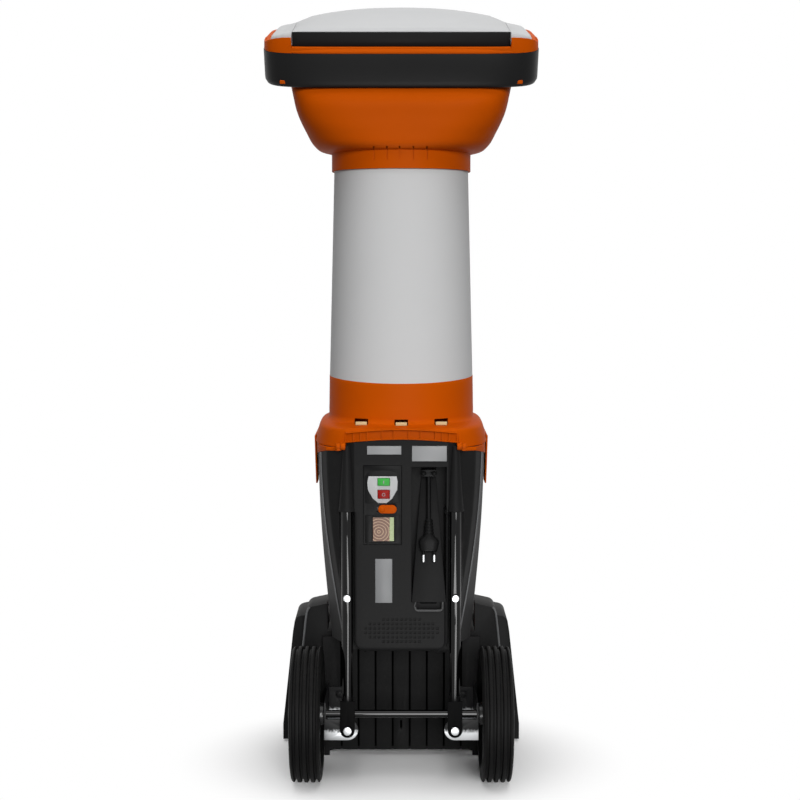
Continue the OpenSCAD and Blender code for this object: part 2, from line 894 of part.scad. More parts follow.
module rotor_core() {
    color(steel) difference() {
        bar_z(stator_bore - air_gap, 0, 0, stator_z + 2, stator_z + stator_h - 2);
        bar_z(shaft_d / 2 + 0.02, 0, 0, stator_z, stator_z + stator_h);
    }
}

module cooling_fan() {
    fan_z = motor_z0 + bearing_t + 8;
    color(black_plastic) difference() {
        union() {
            bar_z(shaft_d / 2 + 7, 0, 0, fan_z, fan_z + 24);
            bar_z(motor_r - motor_wall - 6, 0, 0, fan_z, fan_z + 3);
            for (i = [0 : 7])
                rotate([0, 0, 45 * i])
                    block([shaft_d / 2 + 5, -1, fan_z + 1], [motor_r - motor_wall - 8, 1, fan_z + 22]);
        }
        bar_z(shaft_d / 2 + 0.02, 0, 0, fan_z - 1, fan_z + 30);
    }
}

module cutter_disc() {
    color(steel) difference() {
        bar_z(disc_d / 2, 0, 0, disc_z, disc_z + disc_t);
        bar_z(shaft_d / 2 + 0.02, 0, 0, disc_z - 1, disc_z + disc_t + 1);
        for (a = [0, 180])
            rotate([0, 0, a])
                block(
                    [blade_in + 4, blade_edge, disc_z - 1],
                    [disc_d / 2 - blade_edge - 4, blade_edge + chip_slot_w, disc_z + disc_t + 1]
                );
    }
}

module disc_blades() {
    color(steel) for (a = [0, 180])
        rotate([0, 0, a])
            block(
                [blade_in, blade_edge - blade_w, disc_z + disc_t],
                [disc_d / 2 - blade_edge, blade_edge, disc_z + disc_t + blade_t]
            );
}

module blade_bolt() {
    color(steel) difference() {
        bar_z(shaft_d / 2 + 8, 0, 0, disc_z + disc_t, disc_z + disc_t + 12);
        bar_z(shaft_d / 2 + 0.05, 0, 0, disc_z + disc_t - 1, disc_z + disc_t + 3);
    }
}

module run_capacitor() {
    color(light_grey) bar_z(18, -84, -66, deck_z + shell_wall, deck_z + shell_wall + 88);
}

module interlock_switch() {
    color(dark_grey) block([30, 128, chamber_z1 - 18], [58, 146, chamber_z1]);
}

// Rear panel pieces

module shield_outline() {
    scale([shield_w / 54, shield_h / 48])
        polygon([
            [-25, 24], [-27, 14], [-26, 0], [-17, -16], [-7, -24],
            [7, -24], [17, -16], [26, 0], [27, 14], [25, 24]
        ]);
}

module button_space(z, h, grow) {
    block(
        [control_x + 2 - button_w / 2 - grow, insert_y - plate_proud - button_proud, z - h / 2 - grow],
        [control_x + 2 + button_w / 2 + grow, button_back, z + h / 2 + grow]
    );
}

module control_panel() {
    color(dark_grey) difference() {
        block(
            [control_x - control_w / 2 + fit, insert_y, control_z0 + fit],
            [control_x + control_w / 2 - fit, insert_y + insert_t, control_z1 - fit]
        );
        panel_piece(control_x, insert_y - 1, shield_z - shield_h / 2, shield_t - plate_proud + 1)
            scale([1 + 0.6 / shield_w, 1 + 0.6 / shield_h]) shield_outline();
        button_space(start_z, start_h, slide_fit);
        button_space(stop_z, stop_h, slide_fit);
        block(
            [
                lever_x - lever_stem_w / 2 - lever_travel - slide_fit,
                insert_y - 1,
                lever_z - lever_stem_h / 2 - slide_fit
            ],
            [
                lever_x + lever_stem_w / 2 + slide_fit,
                insert_y + insert_t + 1,
                lever_z + lever_stem_h / 2 + slide_fit
            ]
        );
        block(
            [control_x + 1.5 - window_w / 2 - 0.3, insert_y - 1, window_z - window_h / 2 - 0.3],
            [control_x + 1.5 + window_w / 2 + 0.3, insert_y + window_t - 0.3, window_z + window_h / 2 + 0.3]
        );
    }
}

module switch_plate() {
    color(grey_plastic) difference() {
        panel_piece(control_x, insert_y - plate_proud, shield_z - shield_h / 2, shield_t)
            shield_outline();
        button_space(start_z, start_h, slide_fit);
        button_space(stop_z, stop_h, slide_fit);
    }
}

module material_window() {
    color(brown_print)
        block(
            [control_x + 1.5 - window_w / 2, insert_y - 0.3, window_z - window_h / 2],
            [control_x + 1.5 + window_w / 2, insert_y + window_t - 0.3, window_z + window_h / 2]
        );
}

module start_button() {
    color(green_plastic) button_space(start_z, start_h, 0);
}

module stop_button() {
    color(red_plastic) button_space(stop_z, stop_h, 0);
}

module direction_lever() {
    color(orange_plastic) {
        block(
            [lever_x - lever_w / 2, insert_y - lever_proud, lever_z - lever_h / 2],
            [lever_x + lever_w / 2, insert_y - slide_fit, lever_z + lever_h / 2]
        );
        block(
            [lever_x - lever_stem_w / 2, insert_y - lever_proud + 1, lever_z - lever_stem_h / 2],
            [lever_x + lever_stem_w / 2, button_back, lever_z + lever_stem_h / 2]
        );
    }
}

module switch_box() {
    color(dark_grey)
        block(
            [control_x - control_w / 2 + 2, panel_y + recess + shell_wall, control_z0 + 12],
            [control_x + control_w / 2 - 2, panel_y + recess + shell_wall + box_gap, control_z1 - 5]
        );
}

module label_plates() {
    color(light_grey) {
        block([-60, panel_y - label_t, body_top - 11], [0, panel_y, body_top + 4]);
        block([19, panel_y - label_t, body_top - 23], [panel_half - 3, panel_y, body_top + 4]);
        block(
            [control_x - 13, panel_y - label_t, control_z0 - 104],
            [control_x + 17, panel_y, control_z0 - 25]
        );
    }
}

// Supply cord

module cord_gland() {
    color(black_plastic) {
        block(
            [niche_x - gland_half, niche_y - 24, cord_start[2]],
            [niche_x + gland_half, niche_y, cord_start[2] + 12]
        );
        for (s = [-1, 1])
            bar_y(3.5, niche_x + s * 9.5, niche_y - 27, niche_y - 23, cord_start[2] + 6);
    }
}

// Points round the cord at route point i
function cord_ring(i) =
    let (a = cord_route[max(0, i - 1)])
    let (b = cord_route[min(len(cord_route) - 1, i + 1)])
    let (lean = atan((a[1] - b[1]) / (a[2] - b[2])))
    [
        for (k = [0 : cord_sides - 1])
            let (t = 360 * k / cord_sides)
            let (tip = i == 0 ? 0 : lean)
            cord_route[i] + cord_d / 2 * [cos(t), -sin(t) * cos(tip), sin(t) * sin(tip)]
    ];

module supply_cord() {
    color(black_plastic) loft([for (i = [0 : len(cord_route) - 1]) cord_ring(i)]);
}

// Places its children on the cord's end, with the cord running on along negative Z
module at_plug() {
    translate(cord_end)
        rotate([-cord_lean, 0, 0])
            children();
}

module plug_body() {
    w = plug_body_w / 2;
    t = plug_body_t / 2;
    color(black_plastic) at_plug() {
        translate([0, 0, -plug_neck_h])
            cylinder(r1 = 9.5, r2 = 6.5, h = plug_neck_h);
        translate([0, 0, -plug_neck_h - plug_body_h])
            linear_extrude(plug_body_h)
                polygon([
                    [-w, -4], [-w + 8, -t], [w - 8, -t], [w, -4],
                    [w, 4], [w - 8, t], [-w + 8, t], [-w, 4]
                ]);
    }
}

module plug_pins() {
    color(steel) at_plug()
        for (s = [-1, 1])
            translate([s * pin_pitch / 2, 0, -plug_neck_h - plug_body_h - pin_len])
                cylinder(d = pin_d, h = pin_len);
}

module cord_ramp() {
    color(black_plastic) hull() {
        block(
            [niche_x - gland_half, ramp_in, ramp_z1 - 1],
            [niche_x + gland_half, niche_y, ramp_z1]
        );
        block(
            [niche_x - niche_w / 2 + slide_fit, ramp_out, ramp_z0],
            [niche_x + niche_w / 2 - slide_fit, niche_y, ramp_z0 + 1]
        );
    }
}

module cable_loop() {
    color(black_plastic) difference() {
        block([niche_x - loop_half, panel_y - 2, loop_z], [niche_x + loop_half, panel_y + 4, ramp_z0]);
        block(
            [niche_x - loop_half + loop_bar, panel_y - 3, loop_z + loop_bar],
            [niche_x + loop_half - loop_bar, panel_y + 5, ramp_z0 + 1]
        );
    }
}

// Wheel tubes, axle and wheels

module wheel_tube(s) {
    color(tube_black) difference() {
        union() {
            bar_z(tube_d / 2, s * tube_x, -tube_back, tube_foot_z, sleeve_z + tube_insert - 2);
            block(
                [s * tube_x - paddle_r, -paddle_rear, low_bolt_z],
                [s * tube_x + paddle_r, -paddle_front, tube_foot_z + 12]
            );
            bar_y(paddle_r, s * tube_x, -paddle_rear, -paddle_front, low_bolt_z);
        }
        bar_z(tube_d / 2 - tube_wall, s * tube_x, -tube_back, tube_foot_z + 14, sleeve_z + tube_insert);
        bar_y(low_bolt_d / 2 + 0.2, s * tube_x, -paddle_rear - 1, -paddle_front + 1, low_bolt_z);
        bar_y(high_bolt_d / 2 + 0.2, s * tube_x, -tube_back - tube_d, -tube_back + tube_d, high_bolt_z);
    }
}

module left_wheel_tube() {
    wheel_tube(-1);
}

module right_wheel_tube() {
    wheel_tube(1);
}

module tube_screws() {
    color(steel) for (s = [-1, 1]) {
        bar_y(6.5, s * tube_x, -tube_back - tube_d / 2 - 4, -tube_back - tube_d / 2, high_bolt_z);
        bar_y(high_bolt_d / 2, s * tube_x, -tube_back - tube_d / 2 - 1, -channel_y + 8, high_bolt_z);
    }
}

module axle_bracket() {
    tab_y = bracket_t - wall_back;
    color(steel) difference() {
        union() {
            block(
                [tube_x, -paddle_front, bracket_z],
                [web_x, -paddle_front + bracket_t, low_bolt_z + bracket_r]
            );
            bar_y(bracket_r, tube_x, -paddle_front, -paddle_front + bracket_t, low_bolt_z);
            block([tube_x, -paddle_front, bracket_z], [web_x, -wall_back, bracket_z + bracket_t]);
            block([web_x - bracket_t, -paddle_front, bracket_z], [web_x, -wall_back, axle_z + 22]);
            block([tube_x, -wall_back - bracket_t, bracket_z], [web_x, -wall_back, low_bolt_z + 40]);
        }
        bar_y(low_bolt_d / 2 + 0.2, tube_x, -paddle_front - 1, -paddle_front + bracket_t + 1, low_bolt_z);
        bar_x(axle_d / 2 + run_fit, web_x - bracket_t - 1, web_x + 1, -axle_back, axle_z);
        bar_y(
            high_bolt_d / 2 + 0.2, tab_bolt_x,
            -wall_back - bracket_t - 1, -wall_back + 1, tab_bolt_z
        );
    }
}

module right_axle_bracket() {
    axle_bracket();
}

module left_axle_bracket() {
    mirror([1, 0, 0]) axle_bracket();
}

module bracket_bolts() {
    color(steel) for (s = [-1, 1]) {
        bar_y(7.5, s * tube_x, -paddle_rear - 5, -paddle_rear, low_bolt_z);
        bar_y(low_bolt_d / 2, s * tube_x, -paddle_rear - 1, -paddle_front + bracket_t + 8, low_bolt_z);
        bar_y(7, s * tube_x, -paddle_front + bracket_t, -paddle_front + bracket_t + 6, low_bolt_z);
        bar_y(6.5, s * tab_bolt_x, -wall_back - bracket_t - 4, -wall_back - bracket_t, tab_bolt_z);
        bar_y(
            high_bolt_d / 2, s * tab_bolt_x,
            -wall_back - bracket_t - 1, tab_bolt_h - wall_back, tab_bolt_z
        );
    }
}

module axle() {
    color(tube_black) bar_x(axle_d / 2, -wheel_outer - 4, wheel_outer + 4, -axle_back, axle_z);
}

module axle_caps() {
    color(black_plastic) for (s = [-1, 1])
        difference() {
            bar_x(
                13,
                s > 0 ? wheel_outer + 0.3 : -wheel_outer - 7,
                s > 0 ? wheel_outer + 7 : -wheel_outer - 0.3,
                -axle_back, axle_z
            );
            bar_x(axle_d / 2 + run_fit, -wheel_outer - 4, wheel_outer + 4, -axle_back, axle_z);
        }
}

module tyre(x) {
    r1 = wheel_d / 2;
    r0 = r1 - tyre_h;
    w = tyre_w / 2;
    rib = tyre_w / 9;
    deep = 6;
    color(rubber_black)
        translate([x, -axle_back, axle_z])
            rotate([0, 90, 0])
                rotate_extrude()
                    polygon(concat(
                        [[r0, -w + 6], [r0 + 6, -w], [r1 - 10, -w], [r1 - 2, -w + 3]],
                        [for (i = [0 : 3]) each [
                            [r1 - (i == 0 ? 0.5 : 0), -w + (2 * i + 1) * rib],
                            [r1 - deep, -w + (2 * i + 1.2) * rib],
                            [r1 - deep, -w + (2 * i + 1.8) * rib],
                            [r1 - (i == 3 ? 0.5 : 0), -w + (2 * i + 2) * rib]
                        ]],
                        [[r1 - 2, w - 3], [r1 - 10, w], [r0 + 6, w], [r0, w - 6]]
                    ));
}

// Wheel disc with its hub barrel; side is 1 for the right wheel
module hub(side) {
    r1 = wheel_d / 2 - tyre_h - 0.2;
    b = axle_d / 2 + run_fit;
    w = tyre_w / 2 - 7;
    color(black_plastic)
        translate([side * track_w / 2, -axle_back, axle_z])
            rotate([0, side * 90, 0])
                difference() {
                    rotate_extrude()
                        polygon([
                            [b, hub_inner - track_w / 2], [20, hub_inner - track_w / 2], [22, -5], [r1 - 9, -5],
                            [r1 - 6, -w], [r1, -w], [r1, w], [r1 - 6, w], [r1 - 9, 5], [22, 5],
                            [20, hub_outer - track_w / 2], [b, hub_outer - track_w / 2]
                        ]);
                    for (i = [0 : 5])
                        rotate([0, 0, 60 * i])
                            translate([r1 * 0.58, 0, -8])
                                cylinder(r = 15, h = 16);
                }
}

module left_tyre() {
    tyre(-track_w / 2);
}

module right_tyre() {
    tyre(track_w / 2);
}

module left_hub() {
    hub(-1);
}

module right_hub() {
    hub(1);
}

// Hopper

module hopper_hinge_pins() {
    color(steel) for (s = [-1, 1])
        bar_x(
            hinge_pin_d / 2,
            s * (hinge_x + hinge_w / 2) - hinge_w + 0.5,
            s * (hinge_x + hinge_w / 2) + hinge_w - 0.5,
            hinge_y, hinge_z
        );
}

module collar_wing() {
    translate([skirt_a - hopper_wall, 0, 0])
        rotate([90, 0, 90])
            linear_extrude(hopper_wall)
                polygon([[-70, body_top + 9], [-48, body_top - 40], [-24, body_top - 85],
                         [24, body_top - 85], [48, body_top - 40], [70, body_top + 9]]);
}

// Rear face of the collar's skirt at x
function skirt_y(x) = -skirt_b * pow(1 - pow(abs(x) / skirt_a, 3.4), 1 / 3.4);

// Middle of the collar's sloping shoulder at x, at the height of the slots' lower edge
function shoulder_y(x) = -(tube_b0 + 13) * pow(1 - pow(abs(x) / (tube_a0 + 12), 2.6), 1 / 2.6);

module hopper_collar() {
    w = hopper_wall;
    color(orange_plastic) difference() {
        union() {
            hoop([
                flat_oval(skirt_a, skirt_b, 3.4, collar_z),
                flat_oval(skirt_a - 1, skirt_b - 1, 3.4, body_top + 28),
                flat_oval(skirt_a - 6, skirt_b - 7, 3.2, body_top + 34),
                flat_oval(tube_a0 + 7, tube_b0 + 9, 2.6, body_top + 42),
                flat_oval(tube_a0 + 5, tube_b0 + 5, 2.3, body_top + 58),
                flat_oval(tube_a0 + 0.5, tube_b0 + 0.5, 2.2, tube_z),
                flat_oval(tube_a0 - w - 0.7, tube_b0 - w - 0.7, 2.2, tube_z),
                flat_oval(tube_a0 - w - 1.4, tube_b0 - w - 1.4, 2.2, tube_z + spigot_h),
                flat_oval(tube_a0 - 2 * w - 0.9, tube_b0 - 2 * w - 0.9, 2.2, tube_z + spigot_h),
                flat_oval(tube_a0 - w + 4.5, tube_b0 - w + 4.5, 2.3, body_top + 56),
                flat_oval(tube_a0 - w + 6, tube_b0 - w + 7, 2.6, body_top + 38.5),
                flat_oval(skirt_a - 7 - w, skirt_b - 8 - w, 3.2, body_top + 30),
                flat_oval(skirt_a - 1 - w, skirt_b - 1 - w, 3.4, body_top + 24),
                flat_oval(skirt_a - w, skirt_b - w, 3.4, collar_z)
            ]);
            collar_wing();
            mirror([1, 0, 0]) collar_wing();
            bar_z(boss_r, 0, knob_y, collar_z + 0.4, body_top + 50);
            for (s = [-1, 1]) {
                bar_x(hinge_r, s * hinge_x - hinge_w / 2, s * hinge_x + hinge_w / 2, hinge_y, hinge_z);
                block(
                    [s * hinge_x - hinge_w / 2, hinge_y, hinge_z - 2],
                    [s * hinge_x + hinge_w / 2, skirt_y(hinge_x) + 2, hinge_z + hinge_r]
                );
            }
            for (x = rib_places)
                for (s = [-1, 1])
                    block(
                        [s * x - 1.2, skirt_y(x) - 1.6, crest_z(x) + 2],
                        [s * x + 1.2, skirt_y(x) + 2, body_top + 24]
                    );
        }
        translate([0, 40 - skirt_b, 0])
            rotate([90, 0, 0])
                linear_extrude(60)
                    polygon(concat(
                        [[-crest_half - 0.5, body_top - 1]],
                        [for (i = [-8 : 8])
                            let (x = i * (crest_half + 0.5) / 8)
                            [x, crest_z(x) + collar_gap]],
                        [[crest_half + 0.5, body_top - 1]]
                    ));
        for (x = [-slot_x, 0, slot_x])
            block(
                [x - slot_w / 2, -skirt_b, slot_z - slot_h / 2],
                [x + slot_w / 2, -tube_b0 + 25, slot_z + slot_h / 2]
            );
        bar_z(stud_d / 2 + 0.3, 0, knob_y, body_top - 1, body_top + 52);
        bar_x(hinge_pin_d / 2 + run_fit, -hinge_x - 20, hinge_x + 20, hinge_y, hinge_z);
    }
}

module collar_tabs() {
    color(cream_plastic) for (x = [-slot_x, 0, slot_x])
        block(
            [x - slot_w / 2 + 2, shoulder_y(x) - 3, slot_z - slot_h / 2],
            [x + slot_w / 2 - 2, shoulder_y(x) + 3, slot_z + 1]
        );
}

module hopper_tube() {
    w = hopper_wall;
    top = neck_z + socket_h - 3;
    more = (socket_h - 3) / tube_h;
    a1 = blend(tube_a0, tube_a1, 1 + more);
    b1 = blend(tube_b0, tube_b1, 1 + more);
    color(pale_plastic) hoop([
        flat_oval(tube_a0, tube_b0, 2.2, tube_z),
        flat_oval(a1, b1, 2.2, top),
        flat_oval(a1 - w, b1 - w, 2.2, top),
        flat_oval(tube_a0 - w, tube_b0 - w, 2.2, tube_z)
    ]);
}

module splash_guard() {
    guard_z = neck_z + socket_h - 3;
    color(rubber_black) difference() {
        translate([0, 0, guard_z])
            linear_extrude(3)
                difference() {
                    polygon(oval(tube_a1 - 0.6, tube_b1 - 0.6, 2.2));
                    polygon(oval(tube_a1 - 42, tube_b1 - 44, 2.2));
                }
        for (i = [0 : 9])
            rotate([0, 0, 36 * i + 18])
                block([tube_a1 - 60, -0.6, guard_z - 1], [tube_a1 - 14, 0.6, guard_z + 4]);
    }
}

module hopper_bowl() {
    a = neck_a;
    b = neck_b;
    w = hopper_wall;
    t = rim_tilt;
    z = neck_z + neck_h;
    in_a = tube_a1 - w;
    in_b = tube_b1 - w;
    wall_a = rim_a - 1.5;
    wall_b = rim_b - 1.5;
    color(orange_plastic) difference() {
        hoop([
            flat_oval(a, b, 2.2, neck_z),
            flat_oval(a, b, 2.2, z - 2),
            tilted_oval(a + 16, b + 5, 2.3, z + 4, 0, 1),
            tilted_oval(a + 28, b + 8, 2.5, z + 12, 0, 2),
            tilted_oval(a + 47.5, b + 10, 3, z + 0.19 * bowl_h, 0, 0.31 * t),
            tilted_oval(a + 63, b + 11.5, 3.6, z + 0.37 * bowl_h, 0, 0.55 * t),
            tilted_oval(a + 70, b + 12.3, 4.2, z + 0.58 * bowl_h, 0, 0.83 * t),
            tilted_oval(rim_a - 47, rim_b - 16, rim_n, rim_z, -band_h, t),
            tilted_oval(rim_a - 42, rim_b - 11, rim_n, rim_z, -6, t),
            tilted_oval(rim_a - 5, rim_b - 5, rim_n, rim_z, -6, t),
            tilted_oval(rim_a - 5, rim_b - 5, rim_n, rim_z, -0.7, t),
            tilted_oval(rim_a - 1, rim_b - 1, rim_n, rim_z, -0.7, t),
            tilted_oval(rim_a - 1, rim_b - 1, rim_n, rim_z, 0.5, t),
            tilted_oval(wall_a, wall_b, rim_n, rim_z, rim_wall, t),
            tilted_oval(wall_a - rim_wall_t, wall_b - rim_wall_t, rim_n, rim_z, rim_wall, t),
            tilted_oval(wall_a - rim_wall_t, wall_b - rim_wall_t, rim_n, rim_z, rim_lip, t),
            tilted_oval(rim_a - 47, rim_b - 58, rim_n, rim_z, rim_lip, t),
            tilted_oval(rim_a - 48, rim_b - 58, rim_n, rim_z, rim_lip - 4, t),
            tilted_oval(rim_a - 42 - w, rim_b - 11 - w, rim_n, rim_z, -10, t),
            tilted_oval(rim_a - 47 - w, rim_b - 16 - w, rim_n, rim_z, -band_h, t),
            tilted_oval(a + 70 - w, b + 12.3 - w, 4.2, z + 0.58 * bowl_h + 1, 0, 0.83 * t),
            tilted_oval(a + 63 - w, b + 11.5 - w, 3.6, z + 0.37 * bowl_h + 1.5, 0, 0.55 * t),
            tilted_oval(a + 47.5 - 0.9 * w, b + 10 - w, 3, z + 0.19 * bowl_h + 2, 0, 0.31 * t),
            tilted_oval(a + 28 - 0.8 * w, b + 8 - w, 2.5, z + 12 + 0.65 * w, 0, 2),
            tilted_oval(a + 16 - 0.5 * w, b + 5 - w, 2.3, z + 4 + 0.85 * w, 0, 1),
            flat_oval(in_a, in_b, 2.2, z + 1),
            flat_oval(in_a, in_b, 2.2, neck_z + socket_h),
            flat_oval(a - w, b - w, 2.2, neck_z + socket_h),
            flat_oval(a - w, b - w, 2.2, neck_z)
        ]);
        rim_wall_cut();
    }
}

// What is cut off the rim's upstand: the lid's gap at the rear, and the fall from the rear corners
module rim_wall_cut() {
    half = lid_w / 2 + 1.5;
    at_rim() block([-half, -rim_b - 2, rim_lip + 1], [half, 40 - rim_b, rim_wall + 2]);
    at_rim() rotate([90, 0, 90])
        translate([0, 0, -rim_w])
            linear_extrude(2 * rim_w)
                polygon([
                    [12 - rim_b, rim_wall],
                    [137 - rim_b, rim_lip + 0.6],
                    [rim_b + 2, rim_lip + 0.6],
                    [rim_b + 2, rim_wall + 2],
                    [12 - rim_b, rim_wall + 2]
                ]);
}

module rim_band() {
    color(black_plastic) at_rim() hoop([
        flat_oval(rim_a - 45.5, rim_b - 14.5, rim_n, -band_h),
        flat_oval(rim_a - 7, rim_b - 7, rim_n, -band_h),
        flat_oval(rim_a - 1.5, rim_b - 1.5, rim_n, 8 - band_h),
        flat_oval(rim_a, rim_b, rim_n, -0.7),
        flat_oval(rim_a - 4.2, rim_b - 4.2, rim_n, -0.7),
        flat_oval(rim_a - 6, rim_b - 6, rim_n, 9 - band_h),
        flat_oval(rim_a - 11, rim_b - 11, rim_n, band_t - band_h),
        flat_oval(rim_a - 45.5, rim_b - 14.5, rim_n, band_t - band_h)
    ]);
}

// Height of the hood's outer surface over the rim plane
function hood_height(x, y) =
    hood_edge - hood_fall * y
    + hood_crown * max(0, 1 - pow(abs(x) / crown_a, 2.4)) * max(0, 1 - pow(y / crown_b, 2));

// One ring of the hood, at s times its outline, moved inwards by t; drop is taken off the surface
function hood_ring(s, drop, t) = [
    for (p = oval(hood_a - t, hood_front - t, hood_n))
        let (x = s * p[0])
        let (y = s * p[1])
        [x, y, hood_height(x, y) - drop - t]
];

function hood_foot(w, t) = flat_oval(hood_a - t, hood_front - t, hood_n, w);

// The hood's solid dome, moved inwards by t
module dome(t) {
    loft([
        hood_foot(rim_lip - (t > 0 ? 2 : 0), t),
        hood_ring(0.99, hood_t, t),
        hood_ring(0.96, hood_t / 4, t),
        hood_ring(0.86, 0, t),
        hood_ring(0.7, 0, t),
        hood_ring(0.5, 0, t),
        hood_ring(0.25, 0, t),
        hood_ring(0.03, 0, t)
    ]);
}

module hood_frame() {
    half = lid_w / 2 + lid_gap;
    color(grey_plastic) at_rim() difference() {
        union() {
            difference() {
                dome(0);
                dome(hood_t);
                block([-half, -rim_depth, -band_h], [half, lid_front + lid_gap, hood_top]);
                for (s = [-1, 1])
                    block(
                        [s * lid_hinge_x - knuckle_w / 2 - 1, lid_front - 1, -band_h],
                        [s * lid_hinge_x + knuckle_w / 2 + 1, lid_hinge_y + lid_knuckle_r + 1, hood_top]
                    );
            }
            for (s = [-1, 1])
                for (k = [-1, 1]) {
                    x0 = s * lid_hinge_x + k * (knuckle_w + 1) - knuckle_w / 2;
                    x1 = x0 + knuckle_w;
                    bar_x(lid_knuckle_r, x0, x1, lid_hinge_y, lid_hinge_w);
                    block([x0, lid_hinge_y - 3, lid_hinge_w - 7], [x1, lid_hinge_y + 4, lid_hinge_w]);
                }
        }
        bar_x(lid_pin_d / 2 + run_fit, -lid_hinge_x - 40, lid_hinge_x + 40, lid_hinge_y, lid_hinge_w);
    }
}

module feed_lid() {
    half = lid_w / 2;
    color(grey_plastic) at_rim() difference() {
        union() {
            intersection() {
                difference() {
                    dome(0);
                    dome(hood_t);
                }
                block([-half, -lid_back, 0], [half, lid_front, hood_top]);
            }
            for (s = [-1, 1]) {
                bar_x(
                    lid_knuckle_r,
                    s * lid_hinge_x - knuckle_w / 2, s * lid_hinge_x + knuckle_w / 2,
                    lid_hinge_y, lid_hinge_w
                );
                block(
                    [s * lid_hinge_x - knuckle_w / 2, lid_front - 7, lid_hinge_w - 3],
                    [s * lid_hinge_x + knuckle_w / 2, lid_hinge_y, lid_hinge_w + 2]
                );
            }
        }
        bar_x(lid_pin_d / 2 + run_fit, -lid_hinge_x - 40, lid_hinge_x + 40, lid_hinge_y, lid_hinge_w);
    }
}

module lid_hinge_pins() {
    color(steel) at_rim()
        for (s = [-1, 1])
            bar_x(
                lid_pin_d / 2,
                s * lid_hinge_x - 1.5 * knuckle_w, s * lid_hinge_x + 1.5 * knuckle_w,
                lid_hinge_y, lid_hinge_w
            );
}

module lid_lip() {
    half = lid_w / 2 - lip_inset;
    color(black_plastic) at_rim() intersection() {
        dome(hood_t);
        block([-half, -lid_back, rim_lip + lid_gap], [half, lip_t - lid_back, hood_top]);
    }
}

module lock_knob() {
    seat = body_top + 50;
    color(black_plastic) difference() {
        union() {
            bar_z(knob_d / 2, 0, knob_y, seat, seat + knob_h);
            bar_z(stud_d / 2, 0, knob_y, body_top - 26, seat + 1);
        }
        for (i = [0 : 5])
            bar_z(
                5,
                (knob_d / 2 + 3) * cos(60 * i + 30),
                knob_y + (knob_d / 2 + 3) * sin(60 * i + 30),
                seat - 1, seat + knob_h + 1
            );
    }
}

// Assembly

base_chassis();
left_fender();
right_fender();
foot_pads();
rear_housing();
front_shell();
cutter_deck();
cutter_chamber();
counter_blade();
discharge_chute();
motor_can();
motor_end_cap();
motor_stator();
shaft_bearings();
run_capacitor();
switch_box();
control_panel();
switch_plate();
material_window();
label_plates();
cord_gland();
supply_cord();
plug_body();
plug_pins();
cord_ramp();
cable_loop();
left_wheel_tube();
right_wheel_tube();
tube_screws();
left_axle_bracket();
right_axle_bracket();
bracket_bolts();
axle();
axle_caps();
hopper_hinge_pins();
interlock_switch();
left_tyre();
left_hub();
right_tyre();
right_hub();
motor_shaft();
rotor_core();
cooling_fan();
cutter_disc();
disc_blades();
blade_bolt();
hopper_collar();
collar_tabs();
hopper_tube();
hopper_bowl();
rim_band();
splash_guard();
hood_frame();
lid_hinge_pins();
feed_lid();
lid_lip();
lock_knob();
start_button();
stop_button();
direction_lever();
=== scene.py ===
"""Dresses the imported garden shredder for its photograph.

Sizes are in millimetres and pieces are made in metres. Z is up, and the control panel, which the camera sees,
faces negative Y.
"""
import json
import math

import bpy
from mathutils import Matrix, Vector


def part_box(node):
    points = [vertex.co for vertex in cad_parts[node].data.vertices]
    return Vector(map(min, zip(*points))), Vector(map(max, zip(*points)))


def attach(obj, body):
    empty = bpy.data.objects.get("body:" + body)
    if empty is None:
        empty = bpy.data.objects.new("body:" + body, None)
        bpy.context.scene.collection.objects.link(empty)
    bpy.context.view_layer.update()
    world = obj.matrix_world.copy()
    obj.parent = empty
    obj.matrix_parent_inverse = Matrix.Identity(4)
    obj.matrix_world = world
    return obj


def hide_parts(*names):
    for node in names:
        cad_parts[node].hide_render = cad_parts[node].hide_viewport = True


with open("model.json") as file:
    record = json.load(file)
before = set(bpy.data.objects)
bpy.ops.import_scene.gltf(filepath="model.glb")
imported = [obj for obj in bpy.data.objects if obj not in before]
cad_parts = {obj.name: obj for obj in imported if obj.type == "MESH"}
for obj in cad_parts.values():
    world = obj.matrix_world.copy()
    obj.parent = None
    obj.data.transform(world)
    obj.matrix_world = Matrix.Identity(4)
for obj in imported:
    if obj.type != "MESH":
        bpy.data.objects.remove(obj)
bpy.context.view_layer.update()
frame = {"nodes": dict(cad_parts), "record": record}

RECORD = frame["record"]
SLOT_OF = {part["node"]: part["material_slot"] for part in RECORD["subparts"]}
BODY_OF = {node: body for body, nodes in RECORD["behaviour"]["bodies"].items() for node in nodes}

# Sizes that several pieces share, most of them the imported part's own
MM = 0.001
DECK, BODY_TOP, SLEEVE_Z = 235, 600, 486
REAR, PANEL_HALF, SPLIT, REAR_INSET = 185, 83, 12, 2.5
CHEEK_IN, RIDGE_IN, SIDE_IN = 27, 57, 115
REAR_WALL, FRONT_WALL = 2.5, 4
TUBE_X, TUBE_BACK, CHANNEL = 96, 180, 165
CREST_HALF = 97.5
SKIRT_A, SKIRT_B, SKIRT_N = 157.2, 193, 3.4
HINGE_Y, HINGE_Z, HINGE_R = -194, 604, 6
KNOB_Y, KNOB_R = 181, 14
CONTROL = (-67, 1, 428, 570)
CONTROL_OPENING = (-60, -6, 440, 560)
NICHE = (18, 80, 325, 567)
POCKET = (27.5, 70.5, 313, 325)
CONTROL_DEPTH, NICHE_DEPTH, POCKET_DEPTH, VENT_DEPTH = 8, 52, 9, 3
VENT_PITCH, VENT_HALF, VENT_Z, VENT_ROWS = 8, 2.25, 254, 6
AXLE_Y, AXLE_Z = -175, 120
WHEEL_X, TYRE_R, TYRE_HALF = 168, 120, 27
TUBE_FOOT, NECK_Z, TUBE_N = 713, 1090, 2.2
